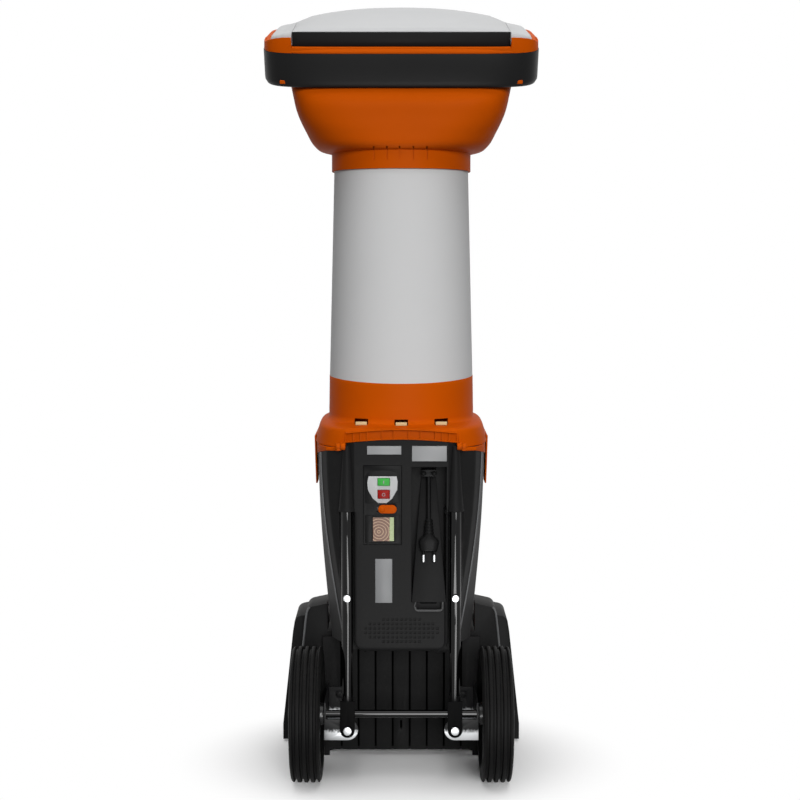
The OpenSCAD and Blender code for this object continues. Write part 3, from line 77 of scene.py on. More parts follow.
RIM_Z, RIM_A, RIM_B, RIM_N = 1329, 244.8, 177, 6.5
RIM_FLAT, RIM_WALL, BAND_H, CLIP_X = 12, 26, 57, 207
AT_RIM = Matrix.Translation((0, 0, RIM_Z)) @ Matrix.Rotation(math.radians(14.5), 4, "X")
HOOD_A, HOOD_B, HOOD_N, HOOD_WALL = 232.5, 162, 7, 4
HOOD_LOW, HOOD_HIGH = -57, 116
LID_HALF, LID_BACK, LID_FRONT, LID_GAP, LIP_GAP = 190, 152, 94, 0.8, 0.4
LID_HINGE_X, LID_HINGE_Y = 52, 99.2
GLAND_X, PIN_X = 49, 9.5
PLANK_PITCH = 32

# Points round an oval, and along the collar's rear edge
ROUND = 160
STATIONS = [8.15 * i for i in range(-12, 13)]

# The cord's middle line, from its gland to its plug
CORD = [(GLAND_X, y, 546 - 4 * i) for i, y in enumerate((
    -147, -147.2, -147.6, -148.2, -148.9, -149.7, -150.6, -151.5, -152.5,
    -153.5, -154.5, -155.5, -156.5, -157.5, -158.5, -159.5, -160.5, -161.5, -162.5, -163.5))]


# Camera

bpy.ops.object.camera_add(
    location=(-0.0022, -3.0, 0.947), rotation=(math.radians(90) - math.atan(150 / 1613), 0, 0))
camera = bpy.context.object
camera.data.lens = 72.585
camera.data.sensor_width = 36
bpy.context.scene.camera = camera


# Materials

class Wire:
    """A socket in a material's node tree; sums and products of wires add Math nodes"""

    def __init__(self, tree, socket=None):
        self.tree = tree
        self.socket = socket

    def node(self, kind, settings, sockets, out=0):
        made = self.tree.nodes.new(kind)
        for name, value in settings.items():
            setattr(made, name, value)
        for name, value in sockets.items():
            if isinstance(value, Wire):
                self.tree.links.new(value.socket, made.inputs[name])
            else:
                made.inputs[name].default_value = value
        return Wire(self.tree, made.outputs[out] if made.outputs else None)

    def math(self, operation, *values):
        return self.node("ShaderNodeMath", {"operation": operation}, dict(enumerate(values)))

    def __add__(self, other):
        return self.math("ADD", self, other)

    def __sub__(self, other):
        return self.math("SUBTRACT", self, other)

    def __mul__(self, other):
        return self.math("MULTIPLY", self, other)

    def __rsub__(self, other):
        return self.math("SUBTRACT", other, self)


def new_material(name):
    material = bpy.data.materials.new(name)
    material.use_nodes = True
    material.node_tree.nodes.clear()
    return material, Wire(material.node_tree)


def noise(tree, place, scale, detail=3):
    return tree.node("ShaderNodeTexNoise", {}, {"Vector": place, "Scale": scale, "Detail": detail}, "Fac")


def mix(tree, factor, low, high):
    return tree.node("ShaderNodeMix", {"data_type": "RGBA"}, {"Factor": factor, 6: low, 7: high}, 2)


def tones(tree, factor, colour, spread):
    low, high = ([c * f for c in colour] + [1] for f in (1 - spread, 1 + spread))
    return mix(tree, factor, low, high)


def surface(tree, sockets):
    shader = tree.node("ShaderNodeBsdfPrincipled", {}, sockets)
    tree.node("ShaderNodeOutputMaterial", {}, {"Surface": shader})


def moulded(colour, roughness, mottle=0.08, grain=0.12, grain_scale=1400, specular=0.5, dust=0.0):
    """Moulded plastic or rubber: fine grain, faint clouds of tone, and dust on rough old faces"""
    def build(tree, place):
        cloud = noise(tree, place, 14, 4)
        streak = noise(tree, place, 160, 3)
        tone = tones(tree, cloud, colour, mottle)
        if dust:
            settled = tree.node("ShaderNodeMapRange", {}, {
                "Value": streak * cloud, "From Min": 0.22, "From Max": 0.45, "To Max": dust})
            tone = mix(tree, settled, tone, (0.3, 0.28, 0.25, 1))
        fine = noise(tree, place, grain_scale, 2)
        bump = tree.node("ShaderNodeBump", {}, {"Strength": grain, "Distance": 0.0004, "Height": fine})
        surface(tree, {
            "Base Color": tone, "Roughness": cloud * 0.08 + streak * 0.04 + (roughness - 0.06),
            "Normal": bump, "Specular IOR Level": specular})
    return build


def metal(colour, roughness, grain=0.08, spots=0.12):
    """Bare metal with brushed scratches and duller spots"""
    def build(tree, place):
        cloud = noise(tree, place, 60, 4)
        brushed = tree.node("ShaderNodeMapping", {}, {"Vector": place, "Scale": (1, 1, 0.06)})
        scratch = noise(tree, brushed, 1500, 2)
        bump = tree.node("ShaderNodeBump", {}, {"Strength": grain, "Distance": 0.0003, "Height": scratch})
        surface(tree, {
            "Base Color": tones(tree, cloud, colour, spots), "Roughness": cloud * 0.16 + (roughness - 0.08),
            "Normal": bump, "Metallic": 1.0})
    return build


def enamel(colour, roughness, worn=-1.0):
    """Black paint on tube: slight orange peel under a clear coat, worn dull below the given height"""
    def build(tree, place):
        height = tree.node("ShaderNodeSeparateXYZ", {}, {"Vector": place}, "Z")
        shine = tree.node("ShaderNodeMapRange", {}, {
            "Value": height, "From Min": worn, "From Max": worn + 0.012})
        peel = noise(tree, place, 420, 2)
        cloud = noise(tree, place, 22, 3)
        bump = tree.node("ShaderNodeBump", {}, {"Strength": 0.03, "Distance": 0.0004, "Height": peel})
        surface(tree, {
            "Base Color": tones(tree, cloud, colour, 0.15),
            "Roughness": cloud * 0.04 - shine * 0.6 + (roughness + 0.6), "Normal": bump,
            "Specular IOR Level": 0.05, "Coat Weight": shine * 0.35, "Coat Roughness": 0.03})
    return build


def painted_shade_steel(edge):
    """Galvanised steel with painted shade: near-black above the given height along a ragged line, its own
    bright colour below
    """
    def build(tree, place):
        height = tree.node("ShaderNodeSeparateXYZ", {}, {"Vector": place}, "Z")
        ragged_shade_line = noise(tree, place, 240, 3) * 0.012
        bright = tree.node("ShaderNodeMapRange", {}, {
            "Value": height + ragged_shade_line, "From Min": edge, "From Max": edge - 0.007})
        surface(tree, {
            "Base Color": mix(tree, bright, (0.012, 0.012, 0.0125, 1), (0.5, 0.51, 0.52, 1)),
            "Roughness": 0.42 - bright * 0.08, "Metallic": bright, "Specular IOR Level": 0.1})
    return build


def painted_gap_shade(tree, place):
    """Painted shade: the near-black of a deep, narrow gap"""
    surface(tree, {"Base Color": (0.0012, 0.0012, 0.0012, 1), "Roughness": 0.9, "Specular IOR Level": 0.0})


def windings(tree, place):
    """Copper wire between laminations"""
    turns = tree.node("ShaderNodeTexWave", {"bands_direction": "Z"}, {
        "Vector": place, "Scale": 120, "Distortion": 1}, "Fac")
    bump = tree.node("ShaderNodeBump", {}, {"Strength": 0.5, "Distance": 0.001, "Height": turns})
    surface(tree, {
        "Base Color": mix(tree, turns, (0.09, 0.03, 0.012, 1), (0.36, 0.13, 0.05, 1)), "Roughness": 0.45,
        "Normal": bump, "Metallic": 0.4})


def growth_rings(tree, place):
    """The window's tile: the end of a log, pale rings on brown, beside a strip of leaves"""
    low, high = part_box("material_window")
    middle = (low + high) / 2
    shifted = tree.node("ShaderNodeMapping", {}, {
        "Vector": place, "Location": (-middle.x + 0.008, -middle.y, -middle.z + 0.005)})
    across = tree.node("ShaderNodeSeparateXYZ", {}, {"Vector": shifted}, "X")
    rough = noise(tree, place, 700, 3)
    rings = tree.node("ShaderNodeTexWave", {"wave_type": "RINGS", "rings_direction": "Y"}, {
        "Vector": shifted, "Scale": 62, "Distortion": 2.5, "Detail": 2, "Detail Scale": 0.6}, "Fac")
    pale = tree.node("ShaderNodeMapRange", {}, {"Value": rings, "From Min": 0.7, "From Max": 1.0})
    wood = mix(tree, pale, (0.12, 0.045, 0.018, 1), (0.4, 0.25, 0.14, 1))
    leaves = mix(tree, noise(tree, place, 260, 4), (0.2, 0.3, 0.1, 1), (0.5, 0.55, 0.3, 1))
    strip = tree.math("GREATER_THAN", across + rough * 0.003, 0.0205)
    surface(tree, {
        "Base Color": mix(tree, strip, wood, leaves), "Roughness": 0.35, "Specular IOR Level": 0.3})


def faced_plate(tree, place):
    """Bare plates: pale ones above, a duller one low on the panel"""
    height = tree.node("ShaderNodeSeparateXYZ", {}, {"Vector": place}, "Z")
    low = tree.math("LESS_THAN", height, 0.42)
    cloud = noise(tree, place, 30, 3)
    pale = tones(tree, cloud, (0.3, 0.305, 0.31), 0.04)
    dull = tones(tree, cloud, (0.2, 0.205, 0.21), 0.05)
    surface(tree, {
        "Base Color": mix(tree, low, pale, dull), "Roughness": cloud * 0.1 + 0.35, "Specular IOR Level": 0.2})


# A moulded finish has its colour, roughness, mottle, grain, grain scale, specular level and dust
BUILDS = {
    "black_shell_plastic": moulded((0.0118, 0.0118, 0.012), 0.5, 0.12, 0.2, 1100, 0.04, 0.008),
    "hopper_black_plastic": moulded((0.0098, 0.0098, 0.01), 0.42, 0.1, 0.15, 1200, 0.07),
    "pale_grey_plastic": moulded((0.6, 0.602, 0.605), 0.5, 0.015, 0.1, 900, 0.04),
    "orange_plastic": moulded((0.52, 0.077, 0.0002), 0.5, 0.04, 0.1, 1100, 0.02),
    "grey_hood_plastic": moulded((0.53, 0.535, 0.54), 0.45, 0.015, 0.1, 900, 0.06),
    "panel_black_plastic": moulded((0.007, 0.007, 0.0072), 0.4, 0.1, 0.12, 1500, 0.05),
    "inner_grey_plastic": moulded((0.07, 0.072, 0.075), 0.5, 0.1, 0.15, 900, 0.4, 0.08),
    "tyre_rubber": moulded((0.0055, 0.0055, 0.0055), 0.55, 0.15, 0.3, 700, 0.05, 0.012),
    "wheel_plastic": moulded((0.008, 0.008, 0.0085), 0.25, 0.1, 0.1, 1200, 0.25),
    "soft_rubber": moulded((0.0042, 0.0042, 0.0044), 0.5, 0.1, 0.2, 900, 0.03),
    "black_painted_tube": enamel((0.001, 0.001, 0.0011), 0.1),
    "galvanised_steel": metal((0.5, 0.51, 0.52), 0.36),
    "cutter_steel": metal((0.46, 0.47, 0.48), 0.3, 0.15),
    "motor_paint": moulded((0.045, 0.046, 0.05), 0.4, 0.1, 0.25, 500, 0.5),
    "winding_brown": windings,
    "light_grey_plastic": faced_plate,
    "cream_plastic": moulded((0.62, 0.47, 0.24), 0.45, 0.06, 0.08, 1200, 0.2),
    "window_print": growth_rings,
    "green_plastic": moulded((0.05, 0.4, 0.06), 0.4, 0.05, 0.06, 1500, 0.08),
    "red_plastic": moulded((0.3, 0.009, 0.006), 0.4, 0.05, 0.06, 1500, 0.06),
}
# Finishes of pieces that look different from the rest of their slot
BUILDS |= {
    # A lighter black as a painted highlight, on the cable loop
    "painted_highlight_black": moulded((0.036, 0.036, 0.0365), 0.45, 0.12, 0.2, 1100, 0.2),
    "footed_tube": enamel((0.001, 0.001, 0.0011), 0.1, 0.146),
    # Steel with painted shade above a height, on the brackets and on their bolts
    "painted_shade_steel": painted_shade_steel(0.1),
    "painted_shade_bolts": painted_shade_steel(0.116),
    # Painted shade for deep, narrow gaps
    "painted_gap_shade": painted_gap_shade,
}
FINISH = {}
for slot, build in BUILDS.items():
    FINISH[slot], slot_tree = new_material(slot)
    build(slot_tree, slot_tree.node("ShaderNodeTexCoord", {}, {}, "Object"))


# Modelling helpers

def pick(*pieces):
    bpy.ops.object.select_all(action="DESELECT")
    for piece in pieces:
        piece.select_set(True)
    bpy.context.view_layer.objects.active = pieces[0]


def edit(piece):
    pick(piece)
    bpy.ops.object.mode_set(mode="EDIT")
    bpy.ops.mesh.select_all(action="SELECT")


def leave_edit():
    bpy.ops.object.mode_set(mode="OBJECT")


def named(name):
    piece = bpy.context.object
    piece.name = piece.data.name = name
    bpy.ops.object.transform_apply(location=True, rotation=True, scale=True)
    return piece


def modify(piece, kind, **settings):
    pick(piece)
    modifier = piece.modifiers.new(kind, kind)
    for name, value in settings.items():
        setattr(modifier, name, value)
    bpy.ops.object.modifier_apply(modifier=modifier.name)


def bevel(piece, width, segments=2, angle=35):
    modify(piece, "BEVEL", width=width * MM, segments=segments, limit_method="ANGLE",
           angle_limit=math.radians(angle))


def carve(piece, cutter, operation="DIFFERENCE"):
    modify(piece, "BOOLEAN", object=cutter, operation=operation, solver="EXACT")
    bpy.data.objects.remove(cutter)


def coat(piece, name):
    piece.data.materials.clear()
    piece.data.materials.append(FINISH[name])


def finish(piece, body, slot, *nodes, smooth=35):
    pick(piece)
    bpy.ops.object.shade_smooth_by_angle(angle=math.radians(smooth))
    coat(piece, slot)
    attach(piece, body)
    if nodes:
        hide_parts(*nodes)
    return piece


def dress(piece, node, smooth=35):
    """Finishes a piece that takes a node's place, body and slot"""
    return finish(piece, BODY_OF[node], SLOT_OF[node], node, smooth=smooth)


def loft(name, rings, hoop=False, closed=True, caps=False):
    """A skin over rings of points: closed rings meet themselves, and a hoop's last ring meets its first"""
    rows = [ring + ring[:1] if closed else ring for ring in rings]
    if hoop:
        rows.append(rows[0])
    bpy.ops.object.select_all(action="DESELECT")
    bpy.ops.mesh.primitive_grid_add(x_subdivisions=len(rows[0]) - 1, y_subdivisions=len(rows) - 1, size=1)
    piece = named(name)
    for vertex, point in zip(piece.data.vertices, (point for row in rows for point in row), strict=True):
        vertex.co = Vector(point) * MM
    edit(piece)
    bpy.ops.mesh.remove_doubles(threshold=0.01 * MM)
    if caps:
        bpy.ops.mesh.fill_holes(sides=0)
    bpy.ops.mesh.normals_make_consistent(inside=False)
    leave_edit()
    return piece


def block(name, low, high):
    size = Vector(high) - Vector(low)
    bpy.ops.object.select_all(action="DESELECT")
    bpy.ops.mesh.primitive_cube_add(size=1, location=(Vector(low) + size / 2) * MM, scale=size * MM)
    return named(name)


def rod(name, radius, start, end, sides=48):
    start, end = Vector(start) * MM, Vector(end) * MM
    bpy.ops.object.select_all(action="DESELECT")
    bpy.ops.mesh.primitive_cylinder_add(
        vertices=sides, radius=radius * MM, depth=(end - start).length, location=(start + end) / 2,
        rotation=(end - start).to_track_quat("Z", "Y").to_euler())
    return named(name)


def turned(name, profile, x, side=1, sides=96):
    """A wheel piece: a closed profile of radius and offset, turned about the axle line"""
    return loft(name, [
        [(x + side * offset, AXLE_Y + radius * math.cos(math.tau * i / sides),
          AXLE_Z + radius * math.sin(math.tau * i / sides)) for i in range(sides)]
        for radius, offset in profile], hoop=True)


def prism(name, outline, low, high, place):
    """A plate: an outline of two-dimensional points, from low to high along the third direction"""
    return loft(name, [[place(u, v, w) for u, v in outline] for w in (low, high)], caps=True)


def joined(name, *pieces):
    pick(*pieces)
    bpy.ops.object.join()
    return named(name)


def moved(piece, matrix):
    """Turns and shifts a piece's mesh; the matrix is in millimetres"""
    piece.data.transform(Matrix.Scale(MM, 4) @ matrix @ Matrix.Scale(1 / MM, 4))
    return piece


def skin(node, width, segments=2, angle=30, smooth=35):
    """A copy of a node's mesh with rounded edges, in the node's place"""
    piece = bpy.data.objects.new(node + "_rounded", frame["nodes"][node].data.copy())
    bpy.context.scene.collection.objects.link(piece)
    edit(piece)
    bpy.ops.mesh.remove_doubles(threshold=0.01 * MM)
    bpy.ops.mesh.dissolve_limited(angle_limit=math.radians(0.5))
    leave_edit()
    bevel(piece, width, segments, angle)
    return dress(piece, node, smooth)


def oval(a, b, n, z=0, count=ROUND):
    """A level ring between an ellipse and a rounded rectangle"""
    ring = []
    for i in range(count):
        t = math.tau * i / count
        r = ((abs(math.cos(t)) / a) ** n + (abs(math.sin(t)) / b) ** n) ** (-1 / n)
        ring.append((r * math.cos(t), r * math.sin(t), z))
    return ring


def tilted(ring, height, degrees):
    matrix = Matrix.Translation((0, 0, height)) @ Matrix.Rotation(math.radians(degrees), 4, "X")
    return [tuple(matrix @ Vector(point)) for point in ring]


def at_rim(ring):
    return [tuple(AT_RIM @ Vector(point)) for point in ring]


def flowing(keys, steps=6):
    """Rings on smooth curves through the key rings"""
    keys = [[Vector(point) for point in ring] for ring in keys]
    gaps = [max(0.01, sum((p - q).length for p, q in zip(a, b)) / len(a)) for a, b in zip(keys, keys[1:])]
    slopes = []
    for i, ring in enumerate(keys):
        before = max(0, i - 1)
        after = min(len(gaps) - 1, i)
        share = gaps[before] / (gaps[before] + gaps[after])
        slopes.append([
            (1 - share) * (keys[before + 1][j] - keys[before][j]) / gaps[before]
            + share * (keys[after + 1][j] - keys[after][j]) / gaps[after] for j in range(len(ring))])
    rings = []
    for i, gap in enumerate(gaps):
        for step in range(steps):
            t = step / steps
            rings.append([tuple(
                (2 * t ** 3 - 3 * t ** 2 + 1) * p + (t ** 3 - 2 * t ** 2 + t) * gap * m
                + (3 * t ** 2 - 2 * t ** 3) * q + (t ** 3 - t ** 2) * gap * n)
                for p, q, m, n in zip(keys[i], keys[i + 1], slopes[i], slopes[i + 1])])
    return rings + [[tuple(point) for point in keys[-1]]]


def filleted(corners, radii, steps=4):
    """A path with each inner corner rounded"""
    path = [corners[0]]
    for before, corner, after, radius in zip(corners, corners[1:], corners[2:], radii):
        corner = Vector(corner)
        back, on = Vector(before) - corner, Vector(after) - corner
        half = back.angle(on, 3.14) / 2
        reach = min(radius / math.tan(max(half, 0.05)), 0.45 * back.length, 0.45 * on.length)
        start, end = corner + back.normalized() * reach, corner + on.normalized() * reach
        for step in range(steps + 1):
            t = step / steps
            path.append(tuple((1 - t) ** 2 * start + 2 * t * (1 - t) * corner + t * t * end))
    return path + [corners[-1]]


def circle_ring(centre, turn, radius, count=24):
    ring = []
    for k in range(count):
        angle = math.tau * k / count
        spoke = Vector((radius * math.cos(angle), radius * math.sin(angle), 0))
        ring.append(tuple(Vector(centre) + turn @ spoke))
    return ring


def bar(name, path, radius, count=24):
    """A round bar along a path"""
    rings = []
    for i, point in enumerate(path):
        ahead = Vector(path[min(i + 1, len(path) - 1)]) - Vector(path[max(i - 1, 0)])
        rings.append(circle_ring(point, ahead.to_track_quat("Z", "X"), radius, count))
    return loft(name, rings, caps=True)


def ball(name, centre, radii):
    bpy.ops.object.select_all(action="DESELECT")
    bpy.ops.mesh.primitive_uv_sphere_add(
        segments=32, ring_count=16, radius=1, location=Vector(centre) * MM, scale=Vector(radii) * MM)
    return named(name)


def along_x(u, v, w):
    return (w, u, v)


def along_y(u, v, w):
    return (u, w, v)


def box_of(node):
    """A node's low and high corners in millimetres"""
    return [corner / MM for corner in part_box(node)]


# Supply cord and plug

def make_plug(at_plug):
    keys = [(4.6, 4.6, 2, 0.5), (6.4, 6.4, 2, 0)]
    for i in range(5):
        r = 6.9 + 0.55 * i
        z = -1 - 5.4 * i
        keys += [(r, r, 2, z), (r + 0.25, r + 0.25, 2, z - 3), (r - 0.7, r - 0.7, 2, z - 3.4),
                 (r - 0.6, r - 0.6, 2, z - 5)]
    keys += [(9.8, 8.8, 2, -28.5), (11, 9, 2.2, -30.5), (14.5, 9.5, 2.6, -33.5), (17.3, 9.9, 2.8, -37),
             (18, 10, 3, -40.5), (17.8, 10, 3, -43), (16.2, 9.8, 3, -50), (15.2, 9.5, 3, -54.5),
             (14.4, 9, 3, -56.4), (13.4, 8.4, 3, -57)]
    pieces = [loft("plug", [oval(*key, 48) for key in keys], caps=True)]
    for side in (-1, 1):
        collar = loft("pin_collar", [oval(2.5, 2.5, 2, z, 32) for z in (-56, -63, -63.3)], caps=True)
        pieces.append(moved(collar, Matrix.Translation((side * PIN_X, 0, 0))))
    return dress(moved(joined("plug", *pieces), at_plug), "plug_body", smooth=40)


def make_pins(at_plug):
    profile = [(2.4, -56.5), (2.4, -73.5), (1.9, -75.4), (0.9, -76)]
    pins = []
    for side in (-1, 1):
        pin = loft("pin", [oval(r, r, 2, z, 32) for r, z in profile], caps=True)
        pins.append(moved(pin, at_plug @ Matrix.Translation((side * PIN_X, 0, 0))))
    return dress(joined("pins", *pins), "plug_pins", smooth=50)


def make_cord():
    at_plug = Matrix.Translation(CORD[-1]) @ Matrix.Rotation(-math.atan(0.25), 4, "X")
    cord = dress(bar("cord", CORD, 4), "supply_cord")
    plug = make_plug(at_plug)
    pins = make_pins(at_plug)


make_cord()


# Hopper

def seam_dip(x):
    """How the tube's foot departs from level"""
    return 5.1 * min(1, x / 132) ** 2 - 1.8


def make_tube():
    top, wall = 1107, 4
    a, b = 132.5, 155
    share = (top - TUBE_FOOT) / (NECK_Z - TUBE_FOOT)
    taper_a, taper_b = 9.5 * share, 11 * share
    rings = [oval(a - taper_a * t, b - taper_b * t, TUBE_N, TUBE_FOOT + (top - TUBE_FOOT) * t)
             for t in (0, 0.004, 0.25, 0.5, 0.75, 0.996, 1)]
    rings.append(oval(a - taper_a - wall, b - taper_b - wall, TUBE_N, top))
    rings.append(oval(a - wall, b - wall, TUBE_N, TUBE_FOOT))
    for i in (0, 1, -1):
        rings[i] = [(x, y, z + seam_dip(x)) for x, y, z in rings[i]]
    dress(loft("tube", rings, hoop=True), "hopper_tube")


def rim_ring(da, db, w):
    """A ring inside the rim's outline, at a height over the rim's own plane"""
    return at_rim(oval(RIM_A - da, RIM_B - db, RIM_N, w))


def rim_y(x):
    """The rim's rear edge"""
    return -RIM_B * (1 - (abs(x) / RIM_A) ** RIM_N) ** (1 / RIM_N)


def wall_top(y):
    """Height of the rim's upstand: full at the rear corners, falling to the ledge"""
    return max(RIM_FLAT + 1.6, min(RIM_WALL, RIM_WALL - (y + RIM_B - 12) * 14 / 45))


def make_bowl():
    a, b, foot, rise, wall = 127.4, 148.4, 1124, 205, 4
    flare = [(22, 6, 2.4, 4, 1), (31, 9, 2.7, 12, 2), (45.5, 10.5, 3.4, 0.19 * rise, 4.5),
             (59.5, 11.7, 4.4, 0.37 * rise, 8), (67.5, 12.3, 5.4, 0.58 * rise, 12)]
    outer = [oval(a, b, TUBE_N, foot - 2)]
    outer += [tilted(oval(a + da, b + db, n), foot + dz, turn) for da, db, n, dz, turn in flare]
    outer.append(rim_ring(45, 16, -BAND_H))
    lip = [(40, 11, -6), (5, 5, -6), (5, 5, -0.7), (1.3, 1.3, -0.7), (0.9, 0.9, -0.2), (1, 1, 0.6)]
    upstand = [(1.4, 1.2), (1.7, 0.3), (2.4, 0), (3.6, 0), (4.2, 0.3), (4.5, 1)]
    ledge = [(4.5, 4.5, RIM_FLAT + 0.2), (5.2, 5.2, RIM_FLAT), (47, 58, RIM_FLAT), (48, 58, RIM_FLAT - 4)]
    inner = [rim_ring(46, 15, -10), rim_ring(51, 20, -BAND_H)]
    inner += [tilted(oval(a + da - wall, b + db - wall, n), foot + dz + 2, turn)
              for da, db, n, dz, turn in reversed(flare)]
    inner.append(oval(119, 140, TUBE_N, foot + 1))
    rings = [oval(a, b, TUBE_N, z) for z in (NECK_Z, NECK_Z + 0.8, foot - 3)]
    rings += flowing(outer) + [rim_ring(*row) for row in lip]
    for inset, drop in upstand:
        edge = oval(RIM_A - inset, RIM_B - inset, RIM_N)
        rings.append(at_rim([(x, y, wall_top(y) - drop) for x, y, z in edge]))
    rings += [rim_ring(*row) for row in ledge]
    rings += flowing(inner, 3)
    rings.append(oval(119, 140, TUBE_N, 1110))
    rings += [oval(a - wall, b - wall, TUBE_N, z) for z in (1110, NECK_Z)]
    bowl = loft("bowl", rings, hoop=True)
    half = LID_HALF + LIP_GAP
    for deep, low in ((40, 8.6), (4.6, 0.9)):
        gap = block("gap", (-half, -RIM_B - 2, low), (half, deep - RIM_B, RIM_WALL + 2))
        carve(bowl, moved(gap, AT_RIM))
    far_fall = [(-60, RIM_FLAT), (-60, 40), (200, 40), (200, 0.8)]
    carve(bowl, moved(prism("wedge", far_fall, -260, 260, along_x), AT_RIM))
    for x in (-48, -25, -3, 21, 45):
        y = -b * (1 - (abs(x) / a) ** TUBE_N) ** (1 / TUBE_N)
        carve(bowl, block("slit", (x - 1.1, y - 20, 1105), (x + 1.1, y + 3.4, 1128)))
    dress(bowl, "hopper_bowl")


def make_rim_bead():
    """The bead along the rim's rear edge, under the lid's lip"""
    section = [(0.6, 0.4), (0.4, 1.4), (0.7, 2.6), (1.7, 4.2), (3.4, 6.4), (5.8, 8.6), (8.6, 9.8), (13, 9.8),
               (13, 8), (5, 0.4)]
    bead = []
    for i in range(-24, 25):
        x = (LID_HALF + LIP_GAP) * i / 24
        bead.append([(x, rim_y(x) + d, w) for d, w in section])
    finish(moved(loft("rim_bead", bead, caps=True), AT_RIM), BODY_OF["hopper_bowl"], "orange_plastic")


def make_band():
    section = [(43.5, 14.5, -60), (9, 9, -60), (7, 7, -59.7), (5.4, 5.4, -58.6), (4, 4, -56.5),
               (1.6, 1.6, -52), (1.1, 1.1, -47), (0, 0, -2.2), (0.3, 0.3, -1.2), (1.2, 1.2, -0.7),
               (4.2, 4.2, -0.7), (6, 6, -50), (11, 11, -56), (43.5, 14.5, -56)]
    dress(loft("band", [rim_ring(*row) for row in section], hoop=True), "rim_band")
    clips = []
    for x in (-CLIP_X, CLIP_X):
        clips.append(block("clip", (x - 5, rim_y(x) + 0.4, -54), (x + 5, rim_y(x) + 12, -47.5)))
    clips = joined("band_clips", *clips)
    bevel(clips, 1.2, 3)
    finish(moved(clips, AT_RIM), BODY_OF["hopper_bowl"], "orange_plastic")


def hood_height(x, y):
    crown = 29 * max(0, 1 - (abs(x) / 212) ** 2.4) * max(0, 1 - (y / 122) ** 2)
    far = min(1, max(0, (y + 150) / 70))
    fall = far * max(0, abs(x) - 166) + (1 - far) * max(0, abs(x) - LID_HALF)
    return 29 - 0.04 * y + crown - min(9, 0.2 * fall)


LID_HINGE_W = hood_height(LID_HINGE_X, LID_HINGE_Y) + 1.5


def hood_outline(t):
    return oval(HOOD_A - t, HOOD_B - t, HOOD_N)


def hood_foot(y):
    """Height of the hood's lower edge, which falls with the rim towards the far side"""
    return 12 - 10 * min(1, max(0, (y + 60) / 120))


def dome_ring(s, drop, t):
    return [(s * x, s * y, hood_height(s * x, s * y) - drop - t) for x, y, z in hood_outline(t)]


def dome(name, t, rounding=1.0):
    """The hood's dome as a closed solid, moved inwards by t"""
    rows = [(0.998, 8), (0.99, 4), (0.98, 2.3), (0.96, 1), (0.93, 0.3), (0.9, 0.1), (0.86, 0)]
    rows += [(s, 0) for s in (0.78, 0.7, 0.6, 0.5, 0.4, 0.3, 0.2, 0.1, 0.03)]
    rings = [[(x, y, hood_foot(y) - 0.5 * t) for x, y, z in hood_outline(t)]]
    rings += [dome_ring(s, rounding * drop, t) for s, drop in rows]
    return moved(loft(name, rings, caps=True), AT_RIM)


def hinge_piece(name, low, high, middles):
    """Blocks at the lid's hinge; low and high hold y and the height from the hinge line"""
    return [block(name, (x - 6, low[0], LID_HINGE_W + low[1]), (x + 6, high[0], LID_HINGE_W + high[1]))
            for x in middles]


def hinge_barrels(middles):
    return [rod("barrel", 4, (x - 6, LID_HINGE_Y, LID_HINGE_W), (x + 6, LID_HINGE_Y, LID_HINGE_W))
            for x in middles]


def make_hood():
    half = LID_HALF + LID_GAP
    opening = block("opening", (-half, -354, HOOD_LOW), (half, LID_FRONT + LID_GAP, HOOD_HIGH))
    hood = dome("hood", 0)
    carve(hood, dome("hollow", HOOD_WALL))
    carve(hood, moved(opening, AT_RIM))
    for x in (-LID_HINGE_X, LID_HINGE_X):
        gap = block("gap", (x - 7, LID_FRONT - 1, HOOD_LOW), (x + 7, LID_HINGE_Y + 5, HOOD_HIGH))
        carve(hood, moved(gap, AT_RIM))
    bevel(hood, 0.8, 2, 50)
    middles = [side * LID_HINGE_X + k * 13 for side in (-1, 1) for k in (-1, 1)]
    barrels = hinge_barrels(middles)
    feet = hinge_piece("foot", (LID_HINGE_Y - 3, -7), (LID_HINGE_Y + 4, 0), middles)
    knuckles = moved(joined("hood_knuckles", *barrels, *feet), AT_RIM)
    bevel(knuckles, 0.6)
    finish(knuckles, "hopper", "grey_hood_plastic")
    dress(hood, "hood_frame")


def make_lid():
    lid = dome("lid", 0, 0.25)
    carve(lid, dome("hollow", HOOD_WALL, 0.25))
    keep = block("keep", (-LID_HALF, -LID_BACK, 0), (LID_HALF, LID_FRONT, HOOD_HIGH))
    carve(lid, moved(keep, AT_RIM), "INTERSECT")
    bevel(lid, 1.2, 3, 50)
    middles = [-LID_HINGE_X, LID_HINGE_X]
    barrels = hinge_barrels(middles)
    arms = hinge_piece("arm", (LID_FRONT - 7, -3), (LID_HINGE_Y, 2), middles)
    knuckles = moved(joined("lid_knuckles", *barrels, *arms), AT_RIM)
    bevel(knuckles, 0.6)
    finish(knuckles, "lid", "grey_hood_plastic")
    dress(lid, "feed_lid")


def make_lip():
    top = hood_height(0, -LID_BACK) - 1.3
    outline = [(-LID_BACK - 2.2, 9.4), (2.5 - LID_BACK, 9.4), (6 - LID_BACK, 20), (6 - LID_BACK, top - 4),
               (1 - LID_BACK, top), (-LID_BACK - 1.6, top), (-LID_BACK - 2.2, top - 0.6)]
    lip = prism("lip", outline, 0.5 - LID_HALF, LID_HALF - 0.5, along_x)
    bevel(lip, 0.5, 2, 40)
    dress(moved(lip, AT_RIM), "lid_lip")


def crest_z(x):
    """Top edge of the rear shell, under the collar's arch"""
    return BODY_TOP + 15 - 7 * (x / CREST_HALF) ** 2


def ledge_z(x):
    """Underside of the ledge over the collar's rear ribs"""
    return 633 - 7.5 * (x / 98) ** 2


def skirt_y(x):
    return -SKIRT_B * (1 - (abs(x) / SKIRT_A) ** SKIRT_N) ** (1 / SKIRT_N)


